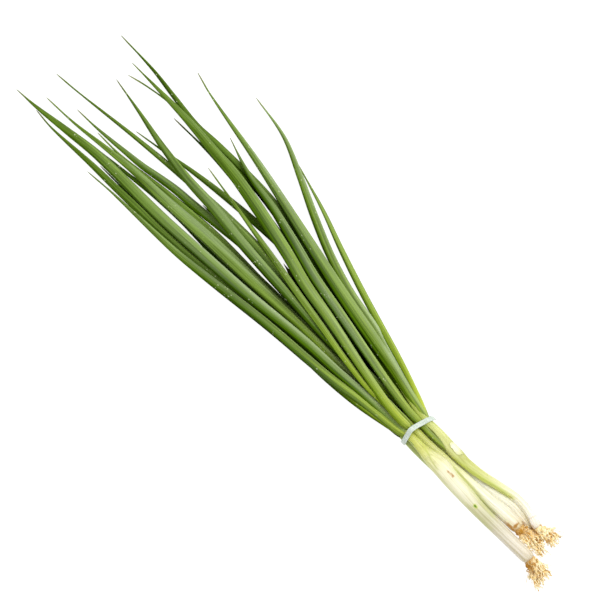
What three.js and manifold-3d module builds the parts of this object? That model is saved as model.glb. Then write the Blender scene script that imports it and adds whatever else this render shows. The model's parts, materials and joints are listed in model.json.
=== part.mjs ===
// A tied bunch of slim chive plants with their roots, lying on a table.
//
// Millimetres, +Z up, the table is z = 0. The bunch is laid out from its tie: x runs from the tie to
// the leaf tips and -x to the roots, y goes across, and the whole bunch is moved at the end so that
// its origin is the middle of its footprint. Everything long and thin (a leaf, or the column of a
// plant's shank and neck) is a strand: a route across the table, a width along it, and a height that
// comes from laying the strands down one after another, each over those already there.

import * as THREE from 'three';
import { mergeVertices } from 'three/addons/utils/BufferGeometryUtils.js';
import Module from 'manifold-3d';

const wasm = await Module();
wasm.setup();

// ---- Driving dimensions, mm --------------------------------------------------------------------

const FOOTPRINT_MIDDLE = { x: 90.3, y: -23.2 }; // seen from the tie
const FLATTEN = 0.8; // thickness of a leaf or shank as a share of its width
const LAY_GAP = 0.6; // room kept between strands of different plants
const SINK = 0.12; // how far a strand on the table is pressed flat
const LAY_STEP = 2; // step along x at which heights are worked out
const SAG = { leaf: 0.002, column: 0.0035 }; // 1/mm: how fast each drops away from its support

const NECK_END = 26; // x where the neck ends inside the leaves
const COLOUR_GAP = 0.3; // between two colours of one plant
const LEAF_SWELL = { from: -7, to: 8, share: 0.6 }; // x where a leaf grows from a share of its base width
const LEAF_FREE = { from: 14, to: 66 }; // x where leaves of one plant draw apart
const LEAF_TAPER = 1.6; // usual taper
const LEAF_TIP_WIDTH = 0.9;
const LEAF_SIDES = 7;
const LEAF_STEP = 19; // length of one straight stretch of a leaf
const COLUMN_SIDES = 11;
const COLUMN_STEP = 11;

const BAND = { width: 3.0, thickness: 0.9, clearance: 0.3, facets: 40 };
// The band lies a little askew: its middle is at x = offset + slope * y + bow * y * y.
const BAND_LIE = { offset: 2.2, slope: 0.12, bow: -0.028 };
const BAND_REACH = { from: -4, to: 4.5 }; // x that the band takes up at the tie

// A root starts sunk in the plate, on a ring inside its edge, and the outer ones may be shorter. It
// waves a little from side to side; waves is how far round the wave it goes, in radians.
const ROOT = {
  count: 12, sides: 3, steps: 3, base: 0.75, tip: 0.42, wave: 0.9, waves: 5, sunk: 1.0, ring: 0.6,
  shortening: 0.45, flare: 0.8,
};
const TUFT_END_HALF = 1.6; // half width given to the far end of a tuft when strands are laid over it
const GOLDEN_ANGLE = Math.PI * (3 - Math.sqrt(5));
const PLATE_LENGTH = 4.5; // root plate, from the foot of the shank to its blunt end
const PLATE_SHARE = 0.92; // its width as a share of the shank's
const PLATE_BLUNTNESS = 0.9;
const PLATE_STEPS = 3;
const PLATE_SIDES = 8;

const COLOURS = { leaves: 0x5d8a2b, shank: 0xf1efd2, roots: 0xe4c389, band: 0xdfe8de };

// ---- The plants ---------------------------------------------------------------------------------
// column = [x, y, half width] from the root plate to the neck; neck is the x where the white shank
// turns into the green neck.

const PLANTS = {
  b: {
    column: [[-48, 7.6, 2.9], [-40, 7.8, 2.9], [-25, 8.1, 2.7], [-8, 8.1, 2.7], [0, 7.6, 2.7],
      [26, 6.6, 2.1]],
    neck: -25,
    roots: { reach: 10, low: 4.6, high: 10.6, top: 4.2, seed: 21 },
  },
  e: {
    column: [[-84, -4.2, 2.4], [-76, -5.6, 2.6], [-67, -6.2, 2.6], [-55, -4.3, 2.7], [-44, -2.6, 2.7],
      [-30, -2.4, 2.8], [0, -2.9, 2.8], [26, -5.0, 2.2]],
    neck: -15,
    roots: { reach: 9, low: -6.4, high: -1.6, top: 3.4, seed: 52 },
  },
  d: {
    column: [[-86, -7.4, 2.7], [-79, -9.6, 2.4], [-72, -10.9, 2.1], [-66, -11.0, 2.1], [-55, -8.9, 2.4],
      [-44, -6.5, 2.6], [-33, -5.3, 2.9], [-26, -5.4, 3.4], [-20, -5.7, 3.2], [-14, -6.7, 2.5],
      [-8, -7.1, 2.3], [0, -7.0, 2.4], [26, -11.0, 2.2]],
    neck: -28,
    roots: { reach: 15, low: -14.0, high: -3.4, top: 6.5, seed: 43 },
  },
  c: {
    column: [[-79, 0.4, 3.8], [-72, 0.1, 4.2], [-66, 0.2, 4.2], [-55, 0.8, 3.6], [-44, 1.2, 2.9],
      [-25, 1.2, 2.5], [-8, 1.5, 2.3], [0, 1.2, 2.5], [26, 0.8, 2.1]],
    neck: -15,
    roots: { reach: 21, low: -3.4, high: 4.6, top: 7.0, seed: 34 },
  },
  a: {
    column: [[-95, 8.7, 3.8], [-83, 8.6, 3.9], [-66, 8.5, 4.0], [-55, 8.3, 4.2], [-44, 7.5, 4.7],
      [-33, 6.8, 4.9], [-25, 5.9, 5.1], [-19, 5.9, 4.6], [-14, 6.1, 3.6], [-8, 5.9, 2.6], [0, 5.6, 2.5],
      [26, 8.9, 2.2]],
    neck: -15,
    roots: { reach: 16, low: 3.4, high: 19.4, top: 8.0, seed: 15 },
  },
};
const LAYERS = [['b', 'e'], ['d', 'c', 'a']]; // plants of the lower and the upper row

// ---- The leaves, in the order in which they lie, lowest first -----------------------------------
// route = [x, y] from the neck to the tip; base and full are widths; widest is the x where the leaf
// is as wide as full; taper is how late it narrows to its tip.

const LEAVES = [
  { plant: 'b', base: 4.4, full: 4.8, widest: 120,
    route: [[-7, 7.9], [14, 9.0], [30, 10.0], [78, 12.0], [122, 14.5], [166, 16.6], [200, 17.2],
      [228, 16.9]] },
  { plant: 'b', base: 3.2, full: 4.2, widest: 150, taper: 1.8,
    route: [[-7, 7.9], [50, 3.4], [105, 8.0], [130, 8.8], [155, 7.8], [175, 7.0], [195, 7.8],
      [211, 9.4], [228, 10.8], [243, 12.2]] },
  { plant: 'b', base: 3.0, full: 3.8, widest: 110,
    route: [[-7, 7.9], [60, -1.0], [100, -4.5], [120, -6.2], [150, -6.8], [172, -6.9]] },
  { plant: 'b', base: 3.0, full: 4.4, widest: 165,
    route: [[-7, 7.9], [50, 2.5], [111, 0.9], [122, 1.0], [133, 0.6], [155, 0.2], [189, 2.0],
      [222, 4.9], [242, 4.7]] },
  { plant: 'b', base: 3.0, full: 4.9, widest: 180,
    route: [[-7, 7.9], [60, -1.5], [100, -4.5], [120, -6.0], [140, -6.3], [155, -5.2], [166, -4.2],
      [178, -3.2], [189, -2.5], [200, -1.0], [211, 0.7], [222, 1.6], [244, 3.1], [259, 3.3]] },
  { plant: 'e', base: 3.0, full: 5.0, widest: 88, taper: 3.0,
    route: [[-7, -2.9], [20, -2.3], [50, -6.0], [83, -8.2], [100, -11.4], [117, -14.7]] },
  { plant: 'e', base: 3.0, full: 4.4, widest: 140,
    route: [[-7, -2.9], [60, -10.5], [100, -17.8], [122, -20.6], [144, -20.4], [166, -18.9],
      [189, -16.4], [211, -13.0], [227, -10.7]] },
  { plant: 'e', base: 3.8, full: 4.6, widest: 130, taper: 2.4,
    route: [[-7, -2.9], [50, -13.0], [111, -28.3], [133, -33.6], [155, -36.0], [189, -36.7],
      [205, -36.4], [225, -39.2], [244, -41.9], [270, -43.3]] },
  { plant: 'e', base: 3.4, full: 4.6, widest: 110,
    route: [[-7, -2.9], [33, -10.3], [55, -14.6], [100, -24.0], [131, -29.8], [150, -32.6],
      [180, -35.2]] },
  { plant: 'e', base: 3.2, full: 4.8, widest: 130,
    route: [[-7, -2.9], [60, -4.5], [111, -8.3], [133, -11.2], [155, -11.7], [178, -11.1],
      [222, -8.2], [266, -4.0], [281, -3.0]] },
  { plant: 'a', base: 3.2, full: 4.4, widest: 80,
    route: [[-7, 5.9], [50, 10.5], [110, 13.6], [150, 16.2], [178, 18.0]] },
  { plant: 'b', base: 4.2, full: 7.5, widest: 145, taper: 1.2,
    route: [[-7, 7.9], [22, 5.8], [55, 4.3], [78, 3.4], [122, 4.2], [166, 4.7], [189, 5.6],
      [211, 5.9], [233, 7.6], [255, 9.8], [276, 10.3]] },
  { plant: 'a', base: 2.8, full: 4.3, widest: 200,
    route: [[-7, 6.1], [11, 9.6], [33, 13.4], [55, 15.0], [78, 15.0], [122, 15.6], [166, 19.1],
      [211, 19.7], [233, 19.7], [262, 20.5], [275, 19.3]] },
  { plant: 'd', base: 2.8, full: 3.9, widest: 50, taper: 2.4,
    route: [[-7, -7.0], [3, -9.8], [11, -13.0], [28, -19.0], [55, -27.4], [78, -34.9], [100, -42.8],
      [122, -51.3], [151, -60.5]] },
  { plant: 'd', base: 3.6, full: 4.8, widest: 110,
    route: [[-7, -7.0], [25, -14.5], [55, -24.0], [78, -28.6], [100, -35.4], [122, -45.0],
      [144, -55.8], [166, -65.6], [192, -70.5]] },
  { plant: 'e', base: 2.6, full: 2.3, widest: 180,
    route: [[-7, -2.9], [60, -13.0], [120, -24.0], [166, -31.1], [205, -34.4], [222, -35.2],
      [240, -32.9], [252, -30.2]] },
  { plant: 'a', base: 4.6, full: 6.2, widest: 150, taper: 3.5,
    route: [[-7, 5.7], [33, 6.3], [55, 7.7], [78, 8.3], [122, 11.7], [166, 13.5], [189, 14.0],
      [233, 13.6], [255, 15.7], [277, 18.0], [291, 18.6]] },
  { plant: 'd', base: 5.0, full: 7.5, widest: 62,
    route: [[-7, -7.0], [11, -9.8], [33, -15.0], [78, -24.1], [122, -34.7], [166, -45.1],
      [211, -54.0], [225, -58.0]] },
  { plant: 'c', base: 3.0, full: 3.0, widest: 150,
    route: [[-7, 1.2], [33, -0.6], [78, -10.8], [100, -15.4], [144, -24.6], [166, -28.4],
      [189, -30.3], [217, -30.5]] },
  { plant: 'a', base: 4.8, full: 5.4, widest: 110,
    route: [[-7, 5.9], [11, 8.2], [33, 10.3], [55, 13.2], [100, 16.1], [144, 20.5], [166, 22.2],
      [211, 23.0], [231, 24.1]] },
  { plant: 'd', base: 4.6, full: 5.9, widest: 100, taper: 2.0,
    route: [[-25, -4.4], [-14, -3.3], [-8, -3.2], [2, -3.6], [11, -4.0], [33, -7.8], [78, -16.7],
      [100, -21.0], [122, -27.2], [144, -33.0], [166, -37.2], [187, -44.4]] },
  { plant: 'c', base: 3.6, full: 6.1, widest: 155,
    route: [[-7, 1.2], [66, -0.8], [100, -3.3], [144, -7.2], [166, -10.0], [189, -11.6],
      [211, -14.9], [233, -19.6], [255, -23.9]] },
  { plant: 'c', base: 4.9, full: 7.2, widest: 150,
    route: [[-7, 1.2], [11, 2.6], [33, -0.5], [78, -10.3], [100, -14.7], [122, -20.8], [166, -30.2],
      [189, -32.8], [211, -35.0], [233, -36.0], [255, -36.6]] },
  { plant: 'c', base: 3.0, full: 3.9, widest: 100,
    route: [[-7, 1.2], [33, 2.6], [55, 0.0], [78, -4.3], [100, -8.3], [122, -12.6], [144, -16.7],
      [184, -23.9]] },
];

// ---- Small mathematics --------------------------------------------------------------------------

/** A smooth value at x through points [x, value, ...]; `at` picks the column of the value. */
function through(points, x, at = 1) {
  const slope = (i) => {
    const before = points[Math.max(i - 1, 0)];
    const after = points[Math.min(i + 1, points.length - 1)];
    return (after[at] - before[at]) / (after[0] - before[0]);
  };
  let i = 0;
  while (i < points.length - 2 && x > points[i + 1][0]) i += 1;
  const step = points[i + 1][0] - points[i][0];
  const t = THREE.MathUtils.clamp((x - points[i][0]) / step, 0, 1);
  const [start, end] = [points[i][at], points[i + 1][at]];
  return (
    start * (2 * t ** 3 - 3 * t ** 2 + 1) +
    slope(i) * step * (t ** 3 - 2 * t ** 2 + t) +
    end * (3 * t ** 2 - 2 * t ** 3) +
    slope(i + 1) * step * (t ** 3 - t ** 2)
  );
}

/** Seeded random numbers from 0 to 1. */
function seededRandom(seed) {
  let state = seed >>> 0;
  return () => {
    state = (Math.imul(state, 1664525) + 1013904223) >>> 0;
    return state / 2 ** 32;
  };
}

/** Evenly spaced values from start to end, both included, at most `step` apart. */
function spaced(start, end, step) {
  const count = Math.max(1, Math.ceil(Math.abs(end - start) / step));
  return Array.from({ length: count + 1 }, (_, i) => start + ((end - start) * i) / count);
}

// ---- Strands ------------------------------------------------------------------------------------

/** The shank and neck of one plant, drawn on through its root tuft so that others lie over it too. */
function columnStrand(name, plant) {
  const foot = plant.column[0];
  const tuftEnd = [foot[0] - plant.roots.reach, (plant.roots.low + plant.roots.high) / 2, TUFT_END_HALF];
  const points = [tuftEnd, ...plant.column];
  return {
    plant: name,
    column: true,
    from: tuftEnd[0],
    to: NECK_END,
    y: (x) => through(points, x),
    halfWidth: (x) => through(points, x, 2),
  };
}

/** One leaf, from inside its neck to its tip. */
function leafStrand(leaf) {
  const from = leaf.route[0][0];
  const to = leaf.route[leaf.route.length - 1][0];
  const taper = leaf.taper ?? LEAF_TAPER;
  const halfWidth = (x) => {
    const swell = THREE.MathUtils.smoothstep(x, LEAF_SWELL.from, LEAF_SWELL.to);
    const grown = THREE.MathUtils.lerp(
      leaf.base * THREE.MathUtils.lerp(LEAF_SWELL.share, 1, swell),
      leaf.full,
      THREE.MathUtils.smoothstep(x, LEAF_SWELL.to, leaf.widest),
    );
    const narrowing = Math.max(0, (x - leaf.widest) / (to - leaf.widest)) ** taper;
    return Math.max(grown * (1 - narrowing), LEAF_TIP_WIDTH) / 2;
  };
  return { plant: leaf.plant, column: false, from, to, y: (x) => through(leaf.route, x), halfWidth };
}

/** Height of what a strand lies on at x: the table, or the band's underside at the tie. */
function tableHeight(x) {
  const overBand = x > BAND_REACH.from && x < BAND_REACH.to;
  return overBand ? BAND.thickness + BAND.clearance : 0;
}

/** Room that a strand keeps at x from one of another plant, or from its own sister leaf. */
function reachBetween(strand, other, x) {
  const sum = strand.halfWidth(x) + other.halfWidth(x);
  if (strand.plant !== other.plant) return sum + LAY_GAP;
  if (other.column) return 0;
  return sum * THREE.MathUtils.smoothstep(x, LEAF_FREE.from, LEAF_FREE.to);
}

/** Lays a strand on the table and on those laid before, and gives it its height along x. */
function lay(strand, laid) {
  const own = laid.find((other) => other.column && other.plant === strand.plant);
  const stations = spaced(strand.from, strand.to, LAY_STEP);
  const needed = stations.map((x) => {
    let height = FLATTEN * strand.halfWidth(x) - SINK + tableHeight(x);
    if (own && x <= NECK_END / 2) height = Math.max(height, own.height(x));
    const slant = Math.cos(Math.atan(strand.y(x + 1) - strand.y(x)));
    for (const other of laid) {
      if (x < other.from || x > other.to) continue;
      const reach = reachBetween(strand, other, x);
      const apart = Math.abs(strand.y(x) - other.y(x)) * slant;
      if (apart < reach) {
        height = Math.max(height, other.height(x) + FLATTEN * Math.sqrt(reach ** 2 - apart ** 2));
      }
    }
    return height;
  });
  const sag = strand.column ? SAG.column : SAG.leaf;
  const settled = stations.map((x) =>
    Math.max(...stations.map((support, i) => needed[i] - sag * (x - support) ** 2)),
  );
  const step = stations[1] - stations[0];
  strand.height = (x) => {
    const place = THREE.MathUtils.clamp((x - strand.from) / step, 0, stations.length - 1.001);
    const i = Math.floor(place);
    return THREE.MathUtils.lerp(settled[i], settled[i + 1], place - i);
  };
  laid.push(strand);
}

// ---- Solids -------------------------------------------------------------------------------------

/** A closed solid skinned over rings of points that all have the same count. */
function skin(rings) {
  const sides = rings[0].length;
  const points = rings.flat();
  const triangles = [];
  for (let ring = 0; ring < rings.length - 1; ring += 1) {
    for (let side = 0; side < sides; side += 1) {
      const a = ring * sides + side;
      const b = ring * sides + ((side + 1) % sides);
      triangles.push(a, b, b + sides, a, b + sides, a + sides);
    }
  }
  const capRing = (first, outward) => {
    const middle = new THREE.Vector3();
    for (let side = 0; side < sides; side += 1) middle.addScaledVector(points[first + side], 1 / sides);
    points.push(middle);
    for (let side = 0; side < sides; side += 1) {
      const pair = [first + side, first + ((side + 1) % sides)];
      triangles.push(points.length - 1, ...(outward ? pair : pair.reverse()));
    }
  };
  capRing(0, false);
  capRing((rings.length - 1) * sides, true);
  return solid(points, triangles);
}

/** A manifold solid from points and triangles. */
function solid(points, triangles) {
  return new wasm.Manifold(
    new wasm.Mesh({
      numProp: 3,
      vertProperties: new Float32Array(points.flatMap((point) => point.toArray())),
      triVerts: new Uint32Array(triangles),
    }),
  );
}

/** The solid of a three.js geometry. */
function solidOf(geometry) {
  const bare = new THREE.BufferGeometry();
  bare.setIndex(geometry.index);
  bare.setAttribute('position', geometry.attributes.position);
  const merged = mergeVertices(bare);
  return new wasm.Manifold(
    new wasm.Mesh({
      numProp: 3,
      vertProperties: new Float32Array(merged.attributes.position.array),
      triVerts: new Uint32Array(merged.index.array),
    }),
  );
}

/** An oval ring of points square to a route; a flat side of the ring faces down. */
function ovalRing(centre, along, halfWidth, halfHeight, sides) {
  const side = new THREE.Vector3(-along.y, along.x, 0).normalize();
  const up = new THREE.Vector3().crossVectors(along, side).normalize();
  return Array.from({ length: sides }, (_, i) => {
    const angle = ((i + 0.5) / sides) * 2 * Math.PI;
    return centre
      .clone()
      .addScaledVector(side, halfWidth * Math.cos(angle))
      .addScaledVector(up, halfHeight * Math.sin(angle));
  });
}

/** How much wider a polygon of so many sides is drawn to cover as much as the oval that it stands for. */
function polygonFill(sides) {
  return Math.sqrt((2 * Math.PI) / (sides * Math.sin((2 * Math.PI) / sides)));
}

/** The solid of a strand between two of its x values. */
function strandSolid(strand, from, to, step, sides) {
  const point = (x) => new THREE.Vector3(x, strand.y(x), strand.height(x));
  const fill = polygonFill(sides);
  const rings = spaced(from, to, step).map((x) => {
    const along = point(Math.min(x + 1, to)).sub(point(Math.max(x - 1, from))).normalize();
    const halfWidth = strand.halfWidth(x) * fill;
    return ovalRing(point(x), along, halfWidth, FLATTEN * halfWidth, sides);
  });
  return skin(rings);
}

/** The root plate of a plant with the tuft of roots that grows from it. */
function rootTuft(plant, column) {
  const random = seededRandom(plant.roots.seed);
  const [footX, , footHalf] = plant.column[0];
  const point = (x) => new THREE.Vector3(x, column.y(x), column.height(x));
  const outward = point(footX).sub(point(footX + 1)).normalize();
  const foot = point(footX).addScaledVector(outward, COLOUR_GAP);
  const plateHalf = footHalf * PLATE_SHARE;
  const plateRings = spaced(0, 1, 1 / PLATE_STEPS).map((t) => {
    const half = plateHalf * Math.sqrt(1 - (PLATE_BLUNTNESS * t) ** 2);
    const centre = foot.clone().addScaledVector(outward, t * PLATE_LENGTH);
    return ovalRing(centre, outward, half, half * FLATTEN, PLATE_SIDES);
  });
  let tuft = skin(plateRings);
  for (let i = 0; i < ROOT.count; i += 1) {
    tuft = tuft.add(rootSolid(plant.roots, foot, plateHalf, i, random));
  }
  return tuft;
}

/** One root of a tuft: it starts inside the plate and fans out within the tuft's limits. */
function rootSolid(roots, foot, plateHalf, index, random) {
  const { low, high, top, reach } = roots;
  const turn = index * GOLDEN_ANGLE;
  const spread = Math.sqrt((index + 0.5) / ROOT.count);
  const across = spread * Math.cos(turn);
  const up = spread * Math.sin(turn);
  const start = foot.clone().add(
    new THREE.Vector3(-ROOT.sunk, plateHalf * ROOT.ring * across, plateHalf * ROOT.ring * up),
  );
  const endY = (low + high) / 2 + ((high - low) / 2) * across;
  const endZ = THREE.MathUtils.lerp(ROOT.base, top, (1 + up) / 2);
  const length = reach * (1 - ROOT.shortening * spread * random()) - ROOT.sunk;
  const phase = random() * 2 * Math.PI;
  const place = (t) => {
    const wave = ROOT.wave * Math.sin(phase + ROOT.waves * t) * t * (1 - t / 2);
    const y = THREE.MathUtils.lerp(start.y, endY, t ** ROOT.flare) + wave;
    const z = THREE.MathUtils.lerp(start.z, endZ, t) + wave / 2;
    return new THREE.Vector3(
      start.x - length * t,
      THREE.MathUtils.clamp(y, low, high),
      Math.max(z, ROOT.base),
    );
  };
  const rings = spaced(0, 1, 1 / ROOT.steps).map((t) => {
    const along = place(Math.min(t + 0.05, 1)).sub(place(Math.max(t - 0.05, 0))).normalize();
    const half = THREE.MathUtils.lerp(ROOT.base, ROOT.tip, t);
    return ovalRing(place(t), along, half, half, ROOT.sides);
  });
  return skin(rings);
}

/** Where the middle of the band lies along x, at a place y across the bunch. */
function bandLie(y) {
  return BAND_LIE.offset + BAND_LIE.slope * y + BAND_LIE.bow * y * y;
}

/** The rubber band: a thin strap drawn round every strand at the tie. */
function bandSolid(strands) {
  const angles = Array.from({ length: BAND.facets }, (_, i) => (i / BAND.facets) * 2 * Math.PI);
  const probes = spaced(-BAND.width * 0.6, BAND.width * 0.6, 1);
  const fill = polygonFill(LEAF_SIDES);
  const support = (angle) => {
    const [across, up] = [Math.cos(angle), Math.sin(angle)];
    let furthest = -Infinity;
    for (const strand of strands) {
      for (const probe of probes) {
        const x = bandLie(strand.y(0)) + probe;
        const half = strand.halfWidth(x) * fill;
        const reach = Math.hypot(half * across, FLATTEN * half * up);
        furthest = Math.max(furthest, strand.y(x) * across + strand.height(x) * up + reach);
      }
    }
    return furthest + BAND.clearance;
  };
  const supports = angles.map(support);
  const corner = (i, extra) => {
    const next = (i + 1) % angles.length;
    const [h0, h1] = [supports[i] + extra, supports[next] + extra];
    const turn = Math.sin(angles[next] - angles[i]);
    return {
      y: (h0 * Math.sin(angles[next]) - h1 * Math.sin(angles[i])) / turn,
      z: (h1 * Math.cos(angles[i]) - h0 * Math.cos(angles[next])) / turn,
    };
  };
  const points = [];
  for (let i = 0; i < angles.length; i += 1) {
    for (const [extra, edge] of [[0, -0.5], [0, 0.5], [BAND.thickness, 0.5], [BAND.thickness, -0.5]]) {
      const { y, z } = corner(i, extra);
      points.push(new THREE.Vector3(bandLie(y) + edge * BAND.width, y, z));
    }
  }
  const triangles = [];
  for (let i = 0; i < angles.length; i += 1) {
    const next = (i + 1) % angles.length;
    for (let side = 0; side < 4; side += 1) {
      const [a, b] = [i * 4 + side, i * 4 + ((side + 1) % 4)];
      const [c, d] = [next * 4 + ((side + 1) % 4), next * 4 + side];
      triangles.push(a, b, c, a, c, d);
    }
  }
  return solid(points, triangles);
}

// ---- The bunch ----------------------------------------------------------------------------------

const belowTable = solidOf(new THREE.BoxGeometry(600, 400, 20).translate(90, 0, -10));

/** A named mesh from a solid, cut flat where it meets the table. */
function pieceMesh(name, body, colour, roughness) {
  const mesh = body.subtract(belowTable).getMesh();
  const geometry = new THREE.BufferGeometry();
  geometry.setAttribute('position', new THREE.BufferAttribute(mesh.vertProperties, 3));
  geometry.setIndex(new THREE.BufferAttribute(mesh.triVerts, 1));
  geometry.computeVertexNormals();
  const material = new THREE.MeshStandardMaterial({ color: colour, roughness, metalness: 0 });
  const piece = new THREE.Mesh(geometry, material);
  piece.name = name;
  return piece;
}

const laid = [];
for (const layer of LAYERS) {
  for (const name of layer) lay(columnStrand(name, PLANTS[name]), laid);
  for (const leaf of LEAVES) if (layer.includes(leaf.plant)) lay(leafStrand(leaf), laid);
}

const bunch = new THREE.Group();
bunch.position.set(-FOOTPRINT_MIDDLE.x, -FOOTPRINT_MIDDLE.y, 0);

for (const [name, plant] of Object.entries(PLANTS)) {
  const column = laid.find((strand) => strand.column && strand.plant === name);
  const foot = plant.column[0][0];
  let leaves = strandSolid(column, plant.neck + COLOUR_GAP, NECK_END, COLUMN_STEP, LEAF_SIDES);
  for (const strand of laid) {
    if (strand.column || strand.plant !== name) continue;
    leaves = leaves.add(strandSolid(strand, strand.from, strand.to, LEAF_STEP, LEAF_SIDES));
  }
  const shank = strandSolid(column, foot, plant.neck, COLUMN_STEP, COLUMN_SIDES);
  bunch.add(
    pieceMesh(`plant_${name}_leaves`, leaves, COLOURS.leaves, 0.5),
    pieceMesh(`plant_${name}_shank`, shank, COLOURS.shank, 0.45),
    pieceMesh(`plant_${name}_roots`, rootTuft(plant, column), COLOURS.roots, 0.8),
  );
}
bunch.add(pieceMesh('rubber_band', bandSolid(laid), COLOURS.band, 0.6));

export default bunch;
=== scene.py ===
"""A tied bunch of slim chive plants with their roots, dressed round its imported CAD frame."""

import json
import logging
import math
import random
from collections.abc import Callable, Sequence
from dataclasses import dataclass, field
from enum import Enum

import bmesh
import bpy
import numpy as np
from bpy.types import ID, Material, Mesh, Node, NodeSocket, NodeTree, Object
from mathutils import Matrix, Vector

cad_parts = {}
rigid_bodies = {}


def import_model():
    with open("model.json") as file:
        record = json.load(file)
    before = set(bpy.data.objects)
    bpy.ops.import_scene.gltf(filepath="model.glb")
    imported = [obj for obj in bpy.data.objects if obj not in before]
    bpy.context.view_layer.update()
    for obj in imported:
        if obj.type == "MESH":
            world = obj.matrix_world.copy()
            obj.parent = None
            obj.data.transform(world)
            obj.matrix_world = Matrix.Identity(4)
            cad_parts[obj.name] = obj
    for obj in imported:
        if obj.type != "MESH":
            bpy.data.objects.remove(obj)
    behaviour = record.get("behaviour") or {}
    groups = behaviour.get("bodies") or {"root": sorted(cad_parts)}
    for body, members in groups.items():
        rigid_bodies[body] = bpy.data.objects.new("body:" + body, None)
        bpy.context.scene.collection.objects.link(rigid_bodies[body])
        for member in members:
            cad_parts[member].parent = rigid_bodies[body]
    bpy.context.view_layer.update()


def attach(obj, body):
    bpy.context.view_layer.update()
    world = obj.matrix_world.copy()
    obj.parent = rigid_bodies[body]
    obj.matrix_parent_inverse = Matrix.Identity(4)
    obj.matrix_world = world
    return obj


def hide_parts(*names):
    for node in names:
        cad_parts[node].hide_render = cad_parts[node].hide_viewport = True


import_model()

log = logging.getLogger("chive_bunch")

MM = 0.001
BODY = "root"
FOOTPRINT_MIDDLE = np.array([90.3, -23.2, 0.0])  # mm, seen from the tie, as in the part's source
PATTERN_SHIFT = 500.0  # mm, how far the patterns of two plants may be shifted from each other

Route = Sequence[Sequence[float]]
Tube = tuple[np.ndarray, np.ndarray]  # points on its curve, mm from the tie, and half widths, mm


# ---- Layout: the same strands and the same rule of lying as in the part's source, in mm ----


@dataclass(frozen=True)
class Laying:
    """How leaves and shanks lie on the table and over each other.

    Attributes:
        flatten: Thickness of a strand as a share of its width.
        gap: Room kept between strands of different plants, mm.
        sink: How far a strand on the table is pressed flat, mm.
        step: Step along x at which heights are worked out, mm.
        leaf_sag: How fast a leaf drops away from its support, 1/mm.
        column_sag: The same for a shank.
        neck_end: x where the neck ends inside the leaves, mm.
        free_from: x where leaves of one plant begin to draw apart, mm.
        free_to: x where they are fully apart, mm.
    """

    flatten: float = 0.8
    gap: float = 0.6
    sink: float = 0.12
    step: float = 2.0
    leaf_sag: float = 0.002
    column_sag: float = 0.0035
    neck_end: float = 26.0
    free_from: float = 14.0
    free_to: float = 66.0


@dataclass(frozen=True)
class BandSizes:
    """Sizes and lie of the rubber band, mm.

    Attributes:
        width: Width of the strap.
        thickness: Thickness of the strap.
        clearance: Room between the strap and the necks.
        offset: x of its middle at the middle of the bunch.
        slope: How much x grows with y.
        bow: How much x grows with y squared, 1/mm.
        reach: x that the band takes up at the tie.
    """

    width: float = 3.0
    thickness: float = 0.9
    clearance: float = 0.3
    offset: float = 2.2
    slope: float = 0.12
    bow: float = -0.028
    reach: tuple[float, float] = (-4.0, 4.5)

    def lie(self, y: np.ndarray | float) -> np.ndarray | float:
        """Returns x of the band's middle at a place y across the bunch."""
        return self.offset + self.slope * y + self.bow * y * y


LAYING = Laying()
BAND = BandSizes()


def smoothstep(value: np.ndarray | float, low: float, high: float) -> np.ndarray:
    """Returns 0 below low, 1 above high and a smooth step between them."""
    t = np.clip((np.asarray(value, dtype=float) - low) / (high - low), 0.0, 1.0)
    return t * t * (3.0 - 2.0 * t)


def through(points: Route, xs: np.ndarray, at: int = 1) -> np.ndarray:
    """Draws a smooth line through points and reads it at many places.

    Args:
        points: Rows of x and the values there.
        xs: Where the line is read.
        at: Which column of the rows holds the value.

    Returns:
        The value at each of xs.
    """
    px = np.array([p[0] for p in points], dtype=float)
    py = np.array([p[at] for p in points], dtype=float)
    last = len(px) - 1
    before = np.maximum(np.arange(last + 1) - 1, 0)
    after = np.minimum(np.arange(last + 1) + 1, last)
    slope = (py[after] - py[before]) / (px[after] - px[before])
    i = np.clip(np.searchsorted(px, xs, side="left") - 1, 0, last - 1)
    step = px[i + 1] - px[i]
    t = np.clip((xs - px[i]) / step, 0.0, 1.0)
    return (
        py[i] * (2 * t**3 - 3 * t**2 + 1)
        + slope[i] * step * (t**3 - 2 * t**2 + t)
        + py[i + 1] * (3 * t**2 - 2 * t**3)
        + slope[i + 1] * step * (t**3 - t**2)
    )


class Tone(Enum):
    """The look of one leaf: how deep its green is, how much waxy bloom it has and how late it greens."""

    FRESH = (0.52, 0.52, 0.0)
    BRIGHT = (0.10, 0.30, 9.0)
    PALE = (0.18, 1.30, -4.0)
    DEEP = (0.95, 0.15, -1.0)
    GREY = (0.65, 1.10, -8.0)
    # The two tones below go past depth 1 and so paint shade: they are for leaves that lie in dark gaps
    # between others.
    SHADED = (1.50, 0.0, 0.0)
    DARK = (2.10, 0.0, -10.0)
    OLIVE = (0.70, 0.15, 12.0)
    GRASS = (0.44, 0.50, 13.0)
    MEADOW = (0.62, 0.62, 0.0)
    FROSTED = (0.52, 1.25, -10.0)
    MISTY = (0.02, 0.85, -2.0)

    @property
    def depth(self) -> float:
        """How deep the green is: 0 is young, 1 is full, and more than that is painted shade for a leaf
        in a dark gap.
        """
        return self.value[0]

    @property
    def bloom(self) -> float:
        """How much grey bloom the leaf carries; 1 is a full coat."""
        return self.value[1]

    @property
    def greening(self) -> float:
        """How far the yellow of the neck runs up the leaf, mm past the usual place."""
        return self.value[2]


LEAF_START = -7.0  # x where each leaf begins, inside the neck, mm
LEAF_START_SHARE = 0.6  # its width there, as a share of its base width
LEAF_SWELL_END = 8.0  # x where it has its base width, mm
LEAF_TIP_WIDTH = 0.9  # mm, as in the source; the dressed tip runs on to a point


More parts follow.
